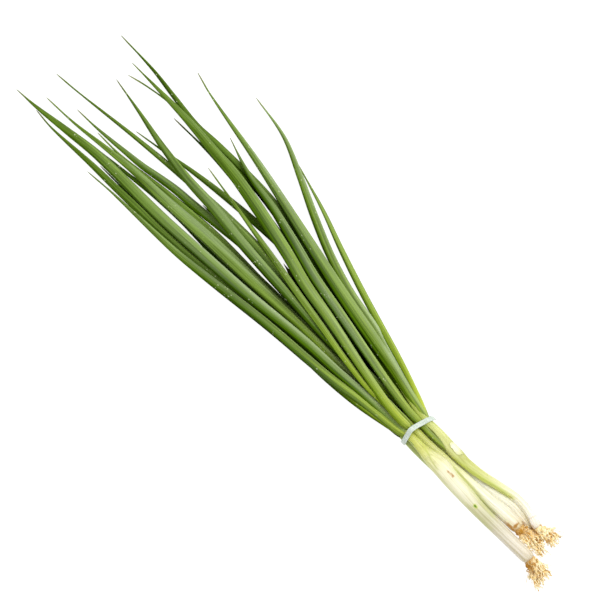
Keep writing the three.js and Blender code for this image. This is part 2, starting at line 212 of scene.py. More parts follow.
@dataclass(frozen=True)
class Leaf:
    """One leaf: its route from the neck to its tip, and its width along it, mm.

    Attributes:
        plant: Letter of the plant.
        base: Width where it leaves the neck.
        full: Width at its widest.
        widest: x where it is widest.
        tone: Its look.
        route: Rows of x and y.
        taper: How late it narrows to its tip.
        edge: How strong the painted shade at its +Y edge is, as a share of the usual.
    """

    plant: str
    base: float
    full: float
    widest: float
    tone: Tone
    route: Route
    taper: float = 1.6
    edge: float = 1.0

    def half_width(self, xs: np.ndarray) -> np.ndarray:
        """Works out half the leaf's width.

        Args:
            xs: Where, mm from the tie.

        Returns:
            Half its width at each of xs, mm.
        """
        swell = smoothstep(xs, LEAF_START, LEAF_SWELL_END)
        grow = smoothstep(xs, LEAF_SWELL_END, self.widest)
        base = self.base * (LEAF_START_SHARE + (1 - LEAF_START_SHARE) * swell)
        grown = base + (self.full - base) * grow
        past = np.maximum(0.0, (xs - self.widest) / (self.route[-1][0] - self.widest))
        return np.maximum(grown * (1.0 - past**self.taper), LEAF_TIP_WIDTH) / 2


@dataclass(frozen=True)
class Plant:
    """The shank, neck and root tuft of one plant, mm.

    Attributes:
        column: Rows of x, y and half width, from the root plate to the neck.
        neck: x where the white shank turns into the green neck.
        reach: How far the roots reach past the plate.
        low: Lowest y of the tuft.
        high: Highest y of the tuft.
        top: Height of the tuft's end.
        seed: Seed of everything random in the plant.
    """

    column: Route
    neck: float
    reach: float
    low: float
    high: float
    top: float
    seed: int


PLANTS: dict[str, Plant] = {
    "b": Plant(
        [[-48, 7.6, 2.9], [-40, 7.8, 2.9], [-25, 8.1, 2.7], [-8, 8.1, 2.7], [0, 7.6, 2.7],
         [26, 6.6, 2.1]],
        neck=-25, reach=10, low=4.6, high=10.6, top=4.2, seed=21,
    ),
    "e": Plant(
        [[-84, -4.2, 2.4], [-76, -5.6, 2.6], [-67, -6.2, 2.6], [-55, -4.3, 2.7], [-44, -2.6, 2.7],
         [-30, -2.4, 2.8], [0, -2.9, 2.8], [26, -5.0, 2.2]],
        neck=-15, reach=9, low=-6.4, high=-1.6, top=3.4, seed=52,
    ),
    "d": Plant(
        [[-86, -7.4, 2.7], [-79, -9.6, 2.4], [-72, -10.9, 2.1], [-66, -11.0, 2.1],
         [-55, -8.9, 2.4], [-44, -6.5, 2.6], [-33, -5.3, 2.9], [-26, -5.4, 3.4], [-20, -5.7, 3.2],
         [-14, -6.7, 2.5], [-8, -7.1, 2.3], [0, -7.0, 2.4], [26, -11.0, 2.2]],
        neck=-28, reach=15, low=-14.0, high=-3.4, top=6.5, seed=43,
    ),
    "c": Plant(
        [[-79, 0.4, 3.8], [-72, 0.1, 4.2], [-66, 0.2, 4.2], [-55, 0.8, 3.6], [-44, 1.2, 2.9],
         [-25, 1.2, 2.5], [-8, 1.5, 2.3], [0, 1.2, 2.5], [26, 0.8, 2.1]],
        neck=-15, reach=21, low=-3.4, high=4.6, top=7.0, seed=34,
    ),
    "a": Plant(
        [[-95, 8.7, 3.8], [-83, 8.6, 3.9], [-66, 8.5, 4.0], [-55, 8.3, 4.2], [-44, 7.5, 4.7],
         [-33, 6.8, 4.9], [-25, 5.9, 5.1], [-19, 5.9, 4.6], [-14, 6.1, 3.6], [-8, 5.9, 2.6],
         [0, 5.6, 2.5], [26, 8.9, 2.2]],
        neck=-15, reach=16, low=3.4, high=19.4, top=8.0, seed=15,
    ),
}
LAYERS = (("b", "e"), ("d", "c", "a"))  # plants of the lower and the upper row

# The leaves in the order in which they lie, lowest first.
LEAVES: tuple[Leaf, ...] = (
    Leaf("b", 4.4, 4.8, 120, Tone.DEEP, edge=0.2,
         route=[[-7, 7.9], [14, 9.0], [30, 10.0], [78, 12.0], [122, 14.5], [166, 16.6], [200, 17.2],
                [228, 16.9]]),
    Leaf("b", 3.2, 4.2, 150, Tone.DEEP, taper=1.8, edge=0.5,
         route=[[-7, 7.9], [50, 3.4], [105, 8.0], [130, 8.8], [155, 7.8], [175, 7.0], [195, 7.8],
                [211, 9.4], [228, 10.8], [243, 12.2]]),
    Leaf("b", 3.0, 3.8, 110, Tone.SHADED,
         route=[[-7, 7.9], [60, -1.0], [100, -4.5], [120, -6.2], [150, -6.8], [172, -6.9]]),
    Leaf("b", 3.0, 4.4, 165, Tone.BRIGHT,
         route=[[-7, 7.9], [50, 2.5], [111, 0.9], [122, 1.0], [133, 0.6], [155, 0.2], [189, 2.0],
                [222, 4.9], [242, 4.7]]),
    Leaf("b", 3.0, 4.9, 180, Tone.GREY,
         route=[[-7, 7.9], [60, -1.5], [100, -4.5], [120, -6.0], [140, -6.3], [155, -5.2], [166, -4.2],
                [178, -3.2], [189, -2.5], [200, -1.0], [211, 0.7], [222, 1.6], [244, 3.1], [259, 3.3]]),
    Leaf("e", 3.0, 5.0, 88, Tone.DARK, taper=3.0,
         route=[[-7, -2.9], [20, -2.3], [50, -6.0], [83, -8.2], [100, -11.4], [117, -14.7]]),
    Leaf("e", 3.0, 4.4, 140, Tone.DEEP,
         route=[[-7, -2.9], [60, -10.5], [100, -17.8], [122, -20.6], [144, -20.4], [166, -18.9],
                [189, -16.4], [211, -13.0], [227, -10.7]]),
    Leaf("e", 3.8, 4.6, 130, Tone.DEEP, taper=2.4,
         route=[[-7, -2.9], [50, -13.0], [111, -28.3], [133, -33.6], [155, -36.0], [189, -36.7],
                [205, -36.4], [225, -39.2], [244, -41.9], [270, -43.3]]),
    Leaf("e", 3.4, 4.6, 110, Tone.SHADED,
         route=[[-7, -2.9], [33, -10.3], [55, -14.6], [100, -24.0], [131, -29.8], [150, -32.6],
                [180, -35.2]]),
    Leaf("e", 3.2, 4.8, 130, Tone.FRESH,
         route=[[-7, -2.9], [60, -4.5], [111, -8.3], [133, -11.2], [155, -11.7], [178, -11.1],
                [222, -8.2], [266, -4.0], [281, -3.0]]),
    Leaf("a", 3.2, 4.4, 80, Tone.DEEP, edge=0.3,
         route=[[-7, 5.9], [50, 10.5], [110, 13.6], [150, 16.2], [178, 18.0]]),
    Leaf("b", 4.2, 7.5, 145, Tone.MISTY, taper=1.2, edge=0.0,
         route=[[-7, 7.9], [22, 5.8], [55, 4.3], [78, 3.4], [122, 4.2], [166, 4.7], [189, 5.6],
                [211, 5.9], [233, 7.6], [255, 9.8], [276, 10.3]]),
    Leaf("a", 2.8, 4.3, 200, Tone.OLIVE, edge=0.0,
         route=[[-7, 6.1], [11, 9.6], [33, 13.4], [55, 15.0], [78, 15.0], [122, 15.6], [166, 19.1],
                [211, 19.7], [233, 19.7], [262, 20.5], [275, 19.3]]),
    Leaf("d", 2.8, 3.9, 50, Tone.BRIGHT, taper=2.4,
         route=[[-7, -7.0], [3, -9.8], [11, -13.0], [28, -19.0], [55, -27.4], [78, -34.9], [100, -42.8],
                [122, -51.3], [151, -60.5]]),
    Leaf("d", 3.6, 4.8, 110, Tone.PALE, edge=0.3,
         route=[[-7, -7.0], [25, -14.5], [55, -24.0], [78, -28.6], [100, -35.4], [122, -45.0],
                [144, -55.8], [166, -65.6], [192, -70.5]]),
    Leaf("e", 2.6, 2.3, 180, Tone.BRIGHT,
         route=[[-7, -2.9], [60, -13.0], [120, -24.0], [166, -31.1], [205, -34.4], [222, -35.2],
                [240, -32.9], [252, -30.2]]),
    Leaf("a", 4.6, 6.2, 150, Tone.GREY, taper=3.5, edge=0.0,
         route=[[-7, 5.7], [33, 6.3], [55, 7.7], [78, 8.3], [122, 11.7], [166, 13.5], [189, 14.0],
                [233, 13.6], [255, 15.7], [277, 18.0], [291, 18.6]]),
    Leaf("d", 5.0, 7.5, 62, Tone.FROSTED,
         route=[[-7, -7.0], [11, -9.8], [33, -15.0], [78, -24.1], [122, -34.7], [166, -45.1],
                [211, -54.0], [225, -58.0]]),
    Leaf("c", 3.0, 3.0, 150, Tone.SHADED,
         route=[[-7, 1.2], [33, -0.6], [78, -10.8], [100, -15.4], [144, -24.6], [166, -28.4],
                [189, -30.3], [217, -30.5]]),
    Leaf("a", 4.8, 5.4, 110, Tone.MEADOW, edge=0.3,
         route=[[-7, 5.9], [11, 8.2], [33, 10.3], [55, 13.2], [100, 16.1], [144, 20.5], [166, 22.2],
                [211, 23.0], [231, 24.1]]),
    Leaf("d", 4.6, 5.9, 100, Tone.GREY, taper=2.0,
         route=[[-25, -4.4], [-14, -3.3], [-8, -3.2], [2, -3.6], [11, -4.0], [33, -7.8], [78, -16.7],
                [100, -21.0], [122, -27.2], [144, -33.0], [166, -37.2], [187, -44.4]]),
    Leaf("c", 3.6, 6.1, 155, Tone.MEADOW,
         route=[[-7, 1.2], [66, -0.8], [100, -3.3], [144, -7.2], [166, -10.0], [189, -11.6],
                [211, -14.9], [233, -19.6], [255, -23.9]]),
    Leaf("c", 4.9, 7.2, 150, Tone.GRASS,
         route=[[-7, 1.2], [11, 2.6], [33, -0.5], [78, -10.3], [100, -14.7], [122, -20.8], [166, -30.2],
                [189, -32.8], [211, -35.0], [233, -36.0], [255, -36.6]]),
    Leaf("c", 3.0, 3.9, 100, Tone.BRIGHT,
         route=[[-7, 1.2], [33, 2.6], [55, 0.0], [78, -4.3], [100, -8.3], [122, -12.6], [144, -16.7],
                [184, -23.9]]),
)


@dataclass
class Strand:
    """A long thin thing with a route, a width and, once it is laid, a height.

    Attributes:
        plant: Letter of its plant.
        start: x where it begins, mm.
        end: x where it ends, mm.
        across: Gives y at many x.
        half_width: Gives half its width at many x.
        leaf: The leaf that it is, or None for a shank and neck.
        stations: x at which its height is known.
        heights: The height there.
    """

    plant: str
    start: float
    end: float
    across: Callable[[np.ndarray], np.ndarray]
    half_width: Callable[[np.ndarray], np.ndarray]
    leaf: Leaf | None = None
    stations: np.ndarray = field(default_factory=lambda: np.zeros(0))
    heights: np.ndarray = field(default_factory=lambda: np.zeros(0))

    def height(self, xs: np.ndarray) -> np.ndarray:
        """Returns the height at each of xs."""
        return np.interp(xs, self.stations, self.heights)

    def points(self, xs: np.ndarray) -> np.ndarray:
        """Returns the middle line at each of xs, one row of x, y and z each, mm."""
        return np.column_stack([xs, self.across(xs), self.height(xs)])


TUFT_HALF_WIDTH = 1.6  # mm, of a shank's strand where it ends in the root tuft


def column_strand(name: str, plant: Plant) -> Strand:
    """Makes the strand of a plant's shank and neck, drawn on through its root tuft.

    Args:
        name: Letter of the plant.
        plant: Its sizes.

    Returns:
        The strand, which isn't laid yet.
    """
    foot = plant.column[0][0]
    tuft_end = [foot - plant.reach, (plant.low + plant.high) / 2, TUFT_HALF_WIDTH]
    points = [tuft_end, *plant.column]
    return Strand(
        plant=name,
        start=tuft_end[0],
        end=LAYING.neck_end,
        across=lambda xs: through(points, xs),
        half_width=lambda xs: through(points, xs, 2),
    )


def leaf_strand(leaf: Leaf) -> Strand:
    """Makes the strand of one leaf, from inside its neck to its tip.

    Args:
        leaf: The leaf.

    Returns:
        The strand, which isn't laid yet.
    """
    return Strand(
        plant=leaf.plant,
        start=leaf.route[0][0],
        end=leaf.route[-1][0],
        across=lambda xs: through(leaf.route, xs),
        half_width=leaf.half_width,
        leaf=leaf,
    )


def lay(strand: Strand, laid: list[Strand]) -> None:
    """Lays a strand on the table and on those laid before, and gives it its heights.

    Args:
        strand: The strand to lay.
        laid: Those that already lie; the strand joins them.
    """
    own = next((s for s in laid if s.leaf is None and s.plant == strand.plant), None)
    count = max(1, math.ceil((strand.end - strand.start) / LAYING.step))
    xs = np.linspace(strand.start, strand.end, count + 1)
    half = strand.half_width(xs)
    over_band = (xs > BAND.reach[0]) & (xs < BAND.reach[1])
    height = LAYING.flatten * half - LAYING.sink + over_band * (BAND.thickness + BAND.clearance)
    if own:
        in_neck = xs <= LAYING.neck_end / 2
        height = np.where(in_neck, np.maximum(height, own.height(xs)), height)
    slant = np.cos(np.arctan(strand.across(xs + 1) - strand.across(xs)))
    for other in laid:
        reach = half + other.half_width(xs)
        if strand.plant != other.plant:
            reach = reach + LAYING.gap
        elif other.leaf is None:
            continue
        else:
            reach = reach * smoothstep(xs, LAYING.free_from, LAYING.free_to)
        apart = np.abs(strand.across(xs) - other.across(xs)) * slant
        touches = (xs >= other.start) & (xs <= other.end) & (apart < reach)
        lift = np.sqrt(np.maximum(reach**2 - apart**2, 0.0))
        height = np.where(touches, np.maximum(height, other.height(xs) + LAYING.flatten * lift), height)
    sag = LAYING.leaf_sag if strand.leaf else LAYING.column_sag
    falls = height[None, :] - sag * (xs[:, None] - xs[None, :]) ** 2
    strand.stations = xs
    strand.heights = falls.max(axis=1)
    laid.append(strand)


def lay_bunch() -> list[Strand]:
    """Lays the whole bunch, from the lowest strand to the highest.

    Returns:
        Every strand, in the order in which they were laid.
    """
    laid: list[Strand] = []
    for layer in LAYERS:
        for name in layer:
            lay(column_strand(name, PLANTS[name]), laid)
        for leaf in LEAVES:
            if leaf.plant in layer:
                lay(leaf_strand(leaf), laid)
    return laid


# ---- Colours and node helpers ----


def linear(code: str) -> tuple[float, float, float, float]:
    """Turns an sRGB hex colour into the linear one that Blender's nodes take.

    Args:
        code: Six hex digits.

    Returns:
        Red, green, blue and an alpha of 1.
    """
    channels = [int(code[i : i + 2], 16) / 255 for i in (0, 2, 4)]
    lin = [c / 12.92 if c <= 0.04045 else ((c + 0.055) / 1.055) ** 2.4 for c in channels]
    return (lin[0], lin[1], lin[2], 1.0)


Inputs = dict[str | int, object] | Sequence[object]


def feed(tree: NodeTree, node: Node, inputs: Inputs) -> None:
    """Sets or links the inputs of a node.

    Args:
        tree: The tree that holds the node.
        node: The node.
        inputs: Values, or the output sockets that feed the inputs: by the inputs' names or numbers,
            or as a row for the first inputs in order.
    """
    for key, value in inputs.items() if isinstance(inputs, dict) else enumerate(inputs):
        if isinstance(value, NodeSocket):
            tree.links.new(value, node.inputs[key])
        else:
            node.inputs[key].default_value = value


def add_node(tree: NodeTree, kind: str, inputs: Inputs = (), **settings: object) -> Node:
    """Adds a node to a tree, with its settings and its inputs.

    Args:
        tree: The tree that gets the node.
        kind: Blender's name for the node's type.
        inputs: Its inputs, as in feed.
        settings: The node's own properties.

    Returns:
        The new node.
    """
    made = tree.nodes.new(kind)
    for name, value in settings.items():
        setattr(made, name, value)
    feed(tree, made, inputs)
    return made


def new_material(name: str) -> tuple[Material, NodeTree, Node]:
    """Makes a material that uses nodes.

    Args:
        name: Its name.

    Returns:
        The material, its tree and its Principled shader.
    """
    material = bpy.data.materials.new(name)
    material.use_nodes = True
    tree = material.node_tree
    return material, tree, tree.nodes["Principled BSDF"]


# ---- Finishes ----


NOISE_RANGE = (0.3, 0.7)  # where nearly all values of Blender's noise lie


class Mark(Enum):
    """Names of the attributes that the meshes carry for their materials."""

    SKIN = "skin"  # vector: place across, over and along the strand, mm
    RIPE = "ripe"  # distance from the tie along the plant, mm, less the leaf's own greening
    DEPTH = "depth"  # how deep a leaf's green is, with painted shade: 0 young, 1 full, more than that painted shade
    BLOOM = "bloom"  # how much waxy bloom a leaf has, with painted highlight on its side towards the light: 0 none, 1 a full coat
    TIP = "tip"  # how dry a leaf is near its tip, 0 to 1
    STAIN = "stain"  # how brown or soiled it is: 0 clean, 1 or more all over
    GREEN = "green"  # in a sheath: green line 0 to 1, bruise above that, painted highlight below 0


def read_marks(tree: NodeTree, *marks: Mark) -> list[NodeSocket]:
    """Returns what several marks hold, each as an output socket."""
    read = [add_node(tree, "ShaderNodeAttribute", attribute_name=mark.value) for mark in marks]
    return [node.outputs["Vector" if mark is Mark.SKIN else "Fac"] for node, mark in zip(read, marks)]


def grain(
    tree: NodeTree,
    skin: NodeSocket,
    size: tuple[float, float],
    detail: float = 3.0,
    held: Sequence[float] | None = None,
) -> NodeSocket:
    """Makes noise on the skin of a strand.

    Args:
        tree: The tree that gets the nodes.
        skin: The skin mark.
        size: Size of a grain across and along the strand, mm.
        detail: How many finer layers it has.
        held: The range of the noise that is used, and the range that it becomes; None leaves it.

    Returns:
        The noise.
    """
    across, along = size
    scaled = add_node(
        tree, "ShaderNodeMapping", {"Vector": skin, "Scale": (1 / across, 1 / across, 1 / along)}
    )
    noise = add_node(
        tree, "ShaderNodeTexNoise", {"Vector": scaled.outputs[0], "Scale": 1.0, "Detail": detail}
    ).outputs["Fac"]
    return add_node(tree, "ShaderNodeMapRange", (noise, *held)).outputs[0] if held else noise


def speckle(tree: NodeTree, size: float, detail: float) -> NodeSocket:
    """Makes noise in a piece's own coordinates.

    Args:
        tree: The tree that gets the nodes.
        size: Size of a speckle, mm.
        detail: How many finer layers it has.

    Returns:
        The noise.
    """
    place = add_node(tree, "ShaderNodeTexCoord").outputs["Object"]
    inputs = {"Vector": place, "Scale": 1.0 / (size * MM), "Detail": detail}
    return add_node(tree, "ShaderNodeTexNoise", inputs).outputs["Fac"]


def layered(tree: NodeTree, base: object, *layers: tuple[object, object, str]) -> NodeSocket:
    """Lays colours over a base one after another.

    Args:
        tree: The tree that gets the nodes.
        base: The base colour or its socket.
        layers: For each layer, how much of it shows, its colour and how it mixes.

    Returns:
        The colour of them all.
    """
    for share, colour, mode in layers:
        mixed = add_node(
            tree, "ShaderNodeMix", {0: share, 6: base, 7: colour}, data_type="RGBA", blend_type=mode
        )
        base = mixed.outputs[2]  # a Mix node has sockets of each kind; the colour's are 6, 7 and 2
    return base


def ramped(tree: NodeTree, value: NodeSocket, stops: Sequence[tuple[float, str]]) -> NodeSocket:
    """Gives a value a colour between stops, which may be in mm or any other unit.

    Args:
        tree: The tree that gets the nodes.
        value: The value.
        stops: Value and hex colour of each stop, in order.

    Returns:
        The colour.
    """
    low, high = stops[0][0], stops[-1][0]
    share = add_node(tree, "ShaderNodeMapRange", (value, low, high)).outputs[0]
    ramp = add_node(tree, "ShaderNodeValToRGB", (share,))
    elements = ramp.color_ramp.elements
    while len(elements) < len(stops):
        elements.new(1.0)
    for element, (place, code) in zip(elements, stops):
        element.position = (place - low) / (high - low)
        element.color = linear(code)
    return ramp.outputs["Color"]


@dataclass(frozen=True)
class LeafFinish:
    """Fresh allium leaf: a thin waxy cuticle over wet green tissue.

    The cuticle gives a soft broad highlight, the lengthwise veins give fine streaks, the bloom
    greys the green where it hasn't been rubbed off, and handling leaves small pale scuffs. The
    bloom's grey is also a painted highlight on the side of each leaf towards the light, and a
    near-black green paints shade at crowded edges and on leaves in dark gaps.
    """

    name: str = "fresh_allium_leaf"
    young: Sequence[tuple[float, str]] = (
        (-22, "D9E090"), (-2, "C2CE48"), (20, "AEC23E"), (56, "9BB543"), (120, "86A341"),
        (190, "7E9D3E"),
    )
    deep: Sequence[tuple[float, str]] = (
        (-22, "B9C56E"), (-2, "879E2A"), (20, "66840F"), (56, "527408"), (120, "496A06"),
    )
    # Grey of the bloom, which also paints the highlight on each leaf's side towards the light.
    bloom: str = "AEC093"
    scuff: str = "D5DDB4"
    # Near-black green of the painted shade, for crowded edges and leaves in dark gaps.
    shade: str = "0E1B02"
    dry_tip: str = "8C8758"
    streak: tuple[float, float] = (1.0, 55.0)  # mm; real veins are 0.3 mm apart, drawn coarser
    streak_tints: Sequence[tuple[float, str]] = ((0.32, "98A262"), (0.45, "D2D6B0"), (0.60, "FFFFFF"))
    vein: tuple[float, float] = (0.45, 55.0)  # mm
    vein_tints: Sequence[tuple[float, str]] = ((0.35, "CACEAE"), (0.55, "FFFFFF"))
    vein_height: float = 0.12  # mm
    patch: tuple[float, float] = (2.6, 80.0)  # mm, where the bloom is thick or rubbed off
    patchiness: float = 0.8  # how much the patches add to the depth of the green
    deep_from: float = 0.34  # depth with its patches where the green starts to deepen
    deep_to: float = 1.34  # and where it is deepest
    shade_from: float = 1.1  # depth where the painted shade starts to darken a leaf
    shade_to: float = 1.75  # and where the painted shade is darkest
    scuff_size: float = 1.3  # mm between possible scuffs
    roughness: tuple[float, float] = (0.35, 0.52)  # in the streaks and between them
    ior: float = 1.25  # low, as the bloom breaks up the cuticle's gloss
    shine: float = 0.06

    def make(self) -> Material:
        """Builds the material.

        Returns:
            The material.
        """
        material, tree, shader = new_material(self.name)
        marks = (Mark.SKIN, Mark.RIPE, Mark.DEPTH, Mark.BLOOM, Mark.TIP)
        skin, ripe, depth, bloom, tip = read_marks(tree, *marks)
        streaks = grain(tree, skin, self.streak)
        veins = grain(tree, skin, self.vein, 1.0)
        patches = grain(tree, skin, self.patch, 2.0)
        mixed = add_node(
            tree, "ShaderNodeMath", (patches, self.patchiness, depth), operation="MULTIPLY_ADD"
        ).outputs[0]
        deepened = add_node(tree, "ShaderNodeMapRange", (mixed, self.deep_from, self.deep_to)).outputs[0]
        rubbed = add_node(tree, "ShaderNodeMapRange", (patches, 0.40, 0.60, 0.35, 1.0)).outputs[0]
        # Bloom, with the painted highlight on the lit side that the bloom mark carries.
        bloom_and_highlight = add_node(tree, "ShaderNodeMath", (rubbed, bloom), operation="MULTIPLY").outputs[0]
        # Painted shade: depth past shade_from turns the colour towards the near-black shade green.
        shaded = add_node(tree, "ShaderNodeMapRange", (depth, self.shade_from, self.shade_to)).outputs[0]
        colour = layered(
            tree,
            ramped(tree, ripe, self.young),
            (deepened, ramped(tree, ripe, self.deep), "MIX"),
            (0.85, ramped(tree, streaks, self.streak_tints), "MULTIPLY"),
            (0.8, ramped(tree, veins, self.vein_tints), "MULTIPLY"),
            (bloom_and_highlight, linear(self.bloom), "MIX"),
            (shaded, linear(self.shade), "MIX"),
            (self.scuffs(tree, skin), linear(self.scuff), "MIX"),
            (tip, linear(self.dry_tip), "MIX"),
        )
        rough = (streaks, *NOISE_RANGE, *self.roughness)
        bump = {"Height": veins, "Strength": 0.4, "Distance": self.vein_height * MM}
        feed(tree, shader, {
            "Base Color": colour,
            "Roughness": add_node(tree, "ShaderNodeMapRange", rough).outputs[0],
            "Normal": add_node(tree, "ShaderNodeBump", bump).outputs["Normal"],
            "IOR": self.ior,
            "Specular IOR Level": self.shine,
        })
        return material

    def scuffs(self, tree: NodeTree, skin: NodeSocket) -> NodeSocket:
        """Finds the small pale scuffs: in few places of a leaf, and many in each place.

        Args:
            tree: The tree that gets the nodes.
            skin: The skin mark.

        Returns:
            How strong the scuffs are.
        """
        size = self.scuff_size
        spaced = add_node(
            tree, "ShaderNodeMapping", {"Vector": skin, "Scale": (1 / size, 1 / size, 0.6 / size)}
        )
        cells = add_node(tree, "ShaderNodeTexVoronoi", {"Vector": spaced.outputs[0], "Scale": 1.0})
        chance = add_node(tree, "ShaderNodeSeparateColor", (cells.outputs["Color"],)).outputs[0]
        result = grain(tree, skin, (7.0, 14.0), 1.0, (0.58, 0.63, 0.0, 0.6))
        for held in ((cells.outputs["Distance"], 0.12, 0.30, 1.0, 0.0), (chance, 0.45, 0.60)):
            share = add_node(tree, "ShaderNodeMapRange", held).outputs[0]
            result = add_node(tree, "ShaderNodeMath", (result, share), operation="MULTIPLY").outputs[0]
        return result


@dataclass(frozen=True)
class SheathFinish:
    """Fresh wrapped sheaths: moist white tissue that light sinks into, greener above the tie.

    The veins show as fine lengthwise lines, a green line runs along some sheaths, bruises are
    green and soil is brown. White streaks are painted highlights on flanks that should look lit.
    """

    name: str
    stops: Sequence[tuple[float, str]]  # x from the tie, mm, and the colour there
    line: str = "C4CE62"
    # Colour of the painted highlight streaks.
    white: str = "FFFEF6"
    bruise: str = "3F7827"
    stain: str = "AF791C"
    vein: tuple[float, float] = (1.1, 60.0)  # mm
    vein_tints: Sequence[tuple[float, str]] = ((0.30, "DAD6BE"), (0.46, "F6F5EA"), (0.60, "FFFFFF"))
    vein_height: float = 0.15  # mm
    fine_vein: tuple[float, float] = (0.45, 60.0)  # mm; real ones are finer, drawn coarser to show
    fine_tints: Sequence[tuple[float, str]] = ((0.34, "ECEADC"), (0.56, "FFFFFF"))
    mottle: tuple[float, float] = (1.3, 2.2)  # mm
    roughness: tuple[float, float] = (0.29, 0.46)  # in the veins and between them
    ior: float = 1.40
    sink: float = 0.15  # share of the light that sinks in
    sink_depth: float = 4.0  # mm

    def make(self) -> Material:
        """Builds the material.

        Returns:
            The material.
        """
        material, tree, shader = new_material(self.name)
        skin, ripe, green, stain = read_marks(tree, Mark.SKIN, Mark.RIPE, Mark.GREEN, Mark.STAIN)
        veins = grain(tree, skin, self.vein, 4.0)
        fine = grain(tree, skin, self.fine_vein, 1.0)
        mottle = grain(tree, skin, self.mottle, 4.0)
        mixed = add_node(
            tree, "ShaderNodeMath", (mottle, 1.1, stain), operation="MULTIPLY_ADD"
        ).outputs[0]
        stained = add_node(tree, "ShaderNodeMapRange", (mixed, 0.85, 1.5, 0.0, 0.9)).outputs[0]
        broken = add_node(tree, "ShaderNodeMapRange", (veins, 0.30, 0.60, 0.55, 1.0)).outputs[0]
        lined = add_node(
            tree, "ShaderNodeMath", (green, broken), operation="MULTIPLY", use_clamp=True
        ).outputs[0]
        bruised = add_node(tree, "ShaderNodeMapRange", (green, 1.1, 2.0)).outputs[0]
        # Painted highlight: below 0 the mark turns the sheath white.
        painted_highlight = add_node(tree, "ShaderNodeMapRange", (green, 0.0, -1.0)).outputs[0]
        colour = layered(
            tree,
            ramped(tree, ripe, self.stops),
            (0.7, ramped(tree, veins, self.vein_tints), "MULTIPLY"),
            (0.85, ramped(tree, fine, self.fine_tints), "MULTIPLY"),
            (painted_highlight, linear(self.white), "MIX"),
            (lined, linear(self.line), "MIX"),
            (bruised, linear(self.bruise), "MIX"),
            (stained, linear(self.stain), "MIX"),
        )
        rough = (veins, *NOISE_RANGE, *self.roughness)
        bump = {"Height": veins, "Strength": 0.35, "Distance": self.vein_height * MM}
        feed(tree, shader, {
            "Base Color": colour,
            "Roughness": add_node(tree, "ShaderNodeMapRange", rough).outputs[0],
            "Normal": add_node(tree, "ShaderNodeBump", bump).outputs["Normal"],
            "IOR": self.ior,
            "Subsurface Weight": self.sink,
            "Subsurface Radius": (1.0, 0.95, 0.75),
            "Subsurface Scale": self.sink_depth * MM,
        })
        return material


@dataclass(frozen=True)
class RootFinish:
    """Dry allium root: straw-coloured, matte and rough, with brown flecks where soil clings."""

    name: str = "dry_allium_root"
    pale: str = "FFF2CA"
    straw: str = "F8D78E"
    soil: str = "BC862C"
    mottle_size: float = 1.5  # mm
    mottle_height: float = 0.2  # mm
    fleck_size: float = 2.4  # mm
    roughness: float = 0.8
    ior: float = 1.4

    def make(self) -> Material:
        """Builds the material.

        Returns:
            The material.
        """
        material, tree, shader = new_material(self.name)
        mottle = speckle(tree, self.mottle_size, 3.0)
        fleck = speckle(tree, self.fleck_size, 1.0)
        (stain,) = read_marks(tree, Mark.STAIN)
        mixed = add_node(
            tree, "ShaderNodeMath", (mottle, 1.2, stain), operation="MULTIPLY_ADD"
        ).outputs[0]
        soiled = add_node(tree, "ShaderNodeMapRange", (mixed, 0.85, 1.5)).outputs[0]
        flecked = add_node(tree, "ShaderNodeMapRange", (fleck, 0.58, 0.68, 0.0, 0.8)).outputs[0]
        colour = layered(
            tree,
            ramped(tree, mottle, ((0.36, self.straw), (0.56, self.pale))),
            (soiled, linear(self.soil), "MIX"),
            (flecked, linear(self.soil), "MIX"),
        )
        bump = {"Height": mottle, "Strength": 0.3, "Distance": self.mottle_height * MM}
        feed(tree, shader, {
            "Base Color": colour,
            "Roughness": self.roughness,
            "Normal": add_node(tree, "ShaderNodeBump", bump).outputs["Normal"],
            "IOR": self.ior,
        })
        return material


@dataclass(frozen=True)
class BandFinish:
    """Pale natural-rubber band: soft, slightly see-through, with a dull sheen."""

    name: str = "pale_natural_rubber"
    colour: str = "D6DFD4"
    worn: str = "BECBBF"
    grain_size: float = 1.2  # mm
    grain_height: float = 0.1  # mm
    roughness: float = 0.5
    ior: float = 1.52
    sink: float = 0.25  # share of the light that sinks in
    sink_depth: float = 0.8  # mm

    def make(self) -> Material:
        """Builds the material.

        Returns:
            The material.
        """
        material, tree, shader = new_material(self.name)
        noise = speckle(tree, self.grain_size, 2.0)
        low, high = NOISE_RANGE
        colour = ramped(tree, noise, ((low, self.worn), (high, self.colour)))
        bump = {"Height": noise, "Strength": 0.2, "Distance": self.grain_height * MM}
        feed(tree, shader, {
            "Base Color": colour,
            "Roughness": self.roughness,
            "Normal": add_node(tree, "ShaderNodeBump", bump).outputs["Normal"],
            "IOR": self.ior,
            "Subsurface Weight": self.sink,
            "Subsurface Radius": (1.0, 1.0, 0.9),
            "Subsurface Scale": self.sink_depth * MM,
        })
        return material


# ---- Geometry Nodes: tubes swept along routes ----


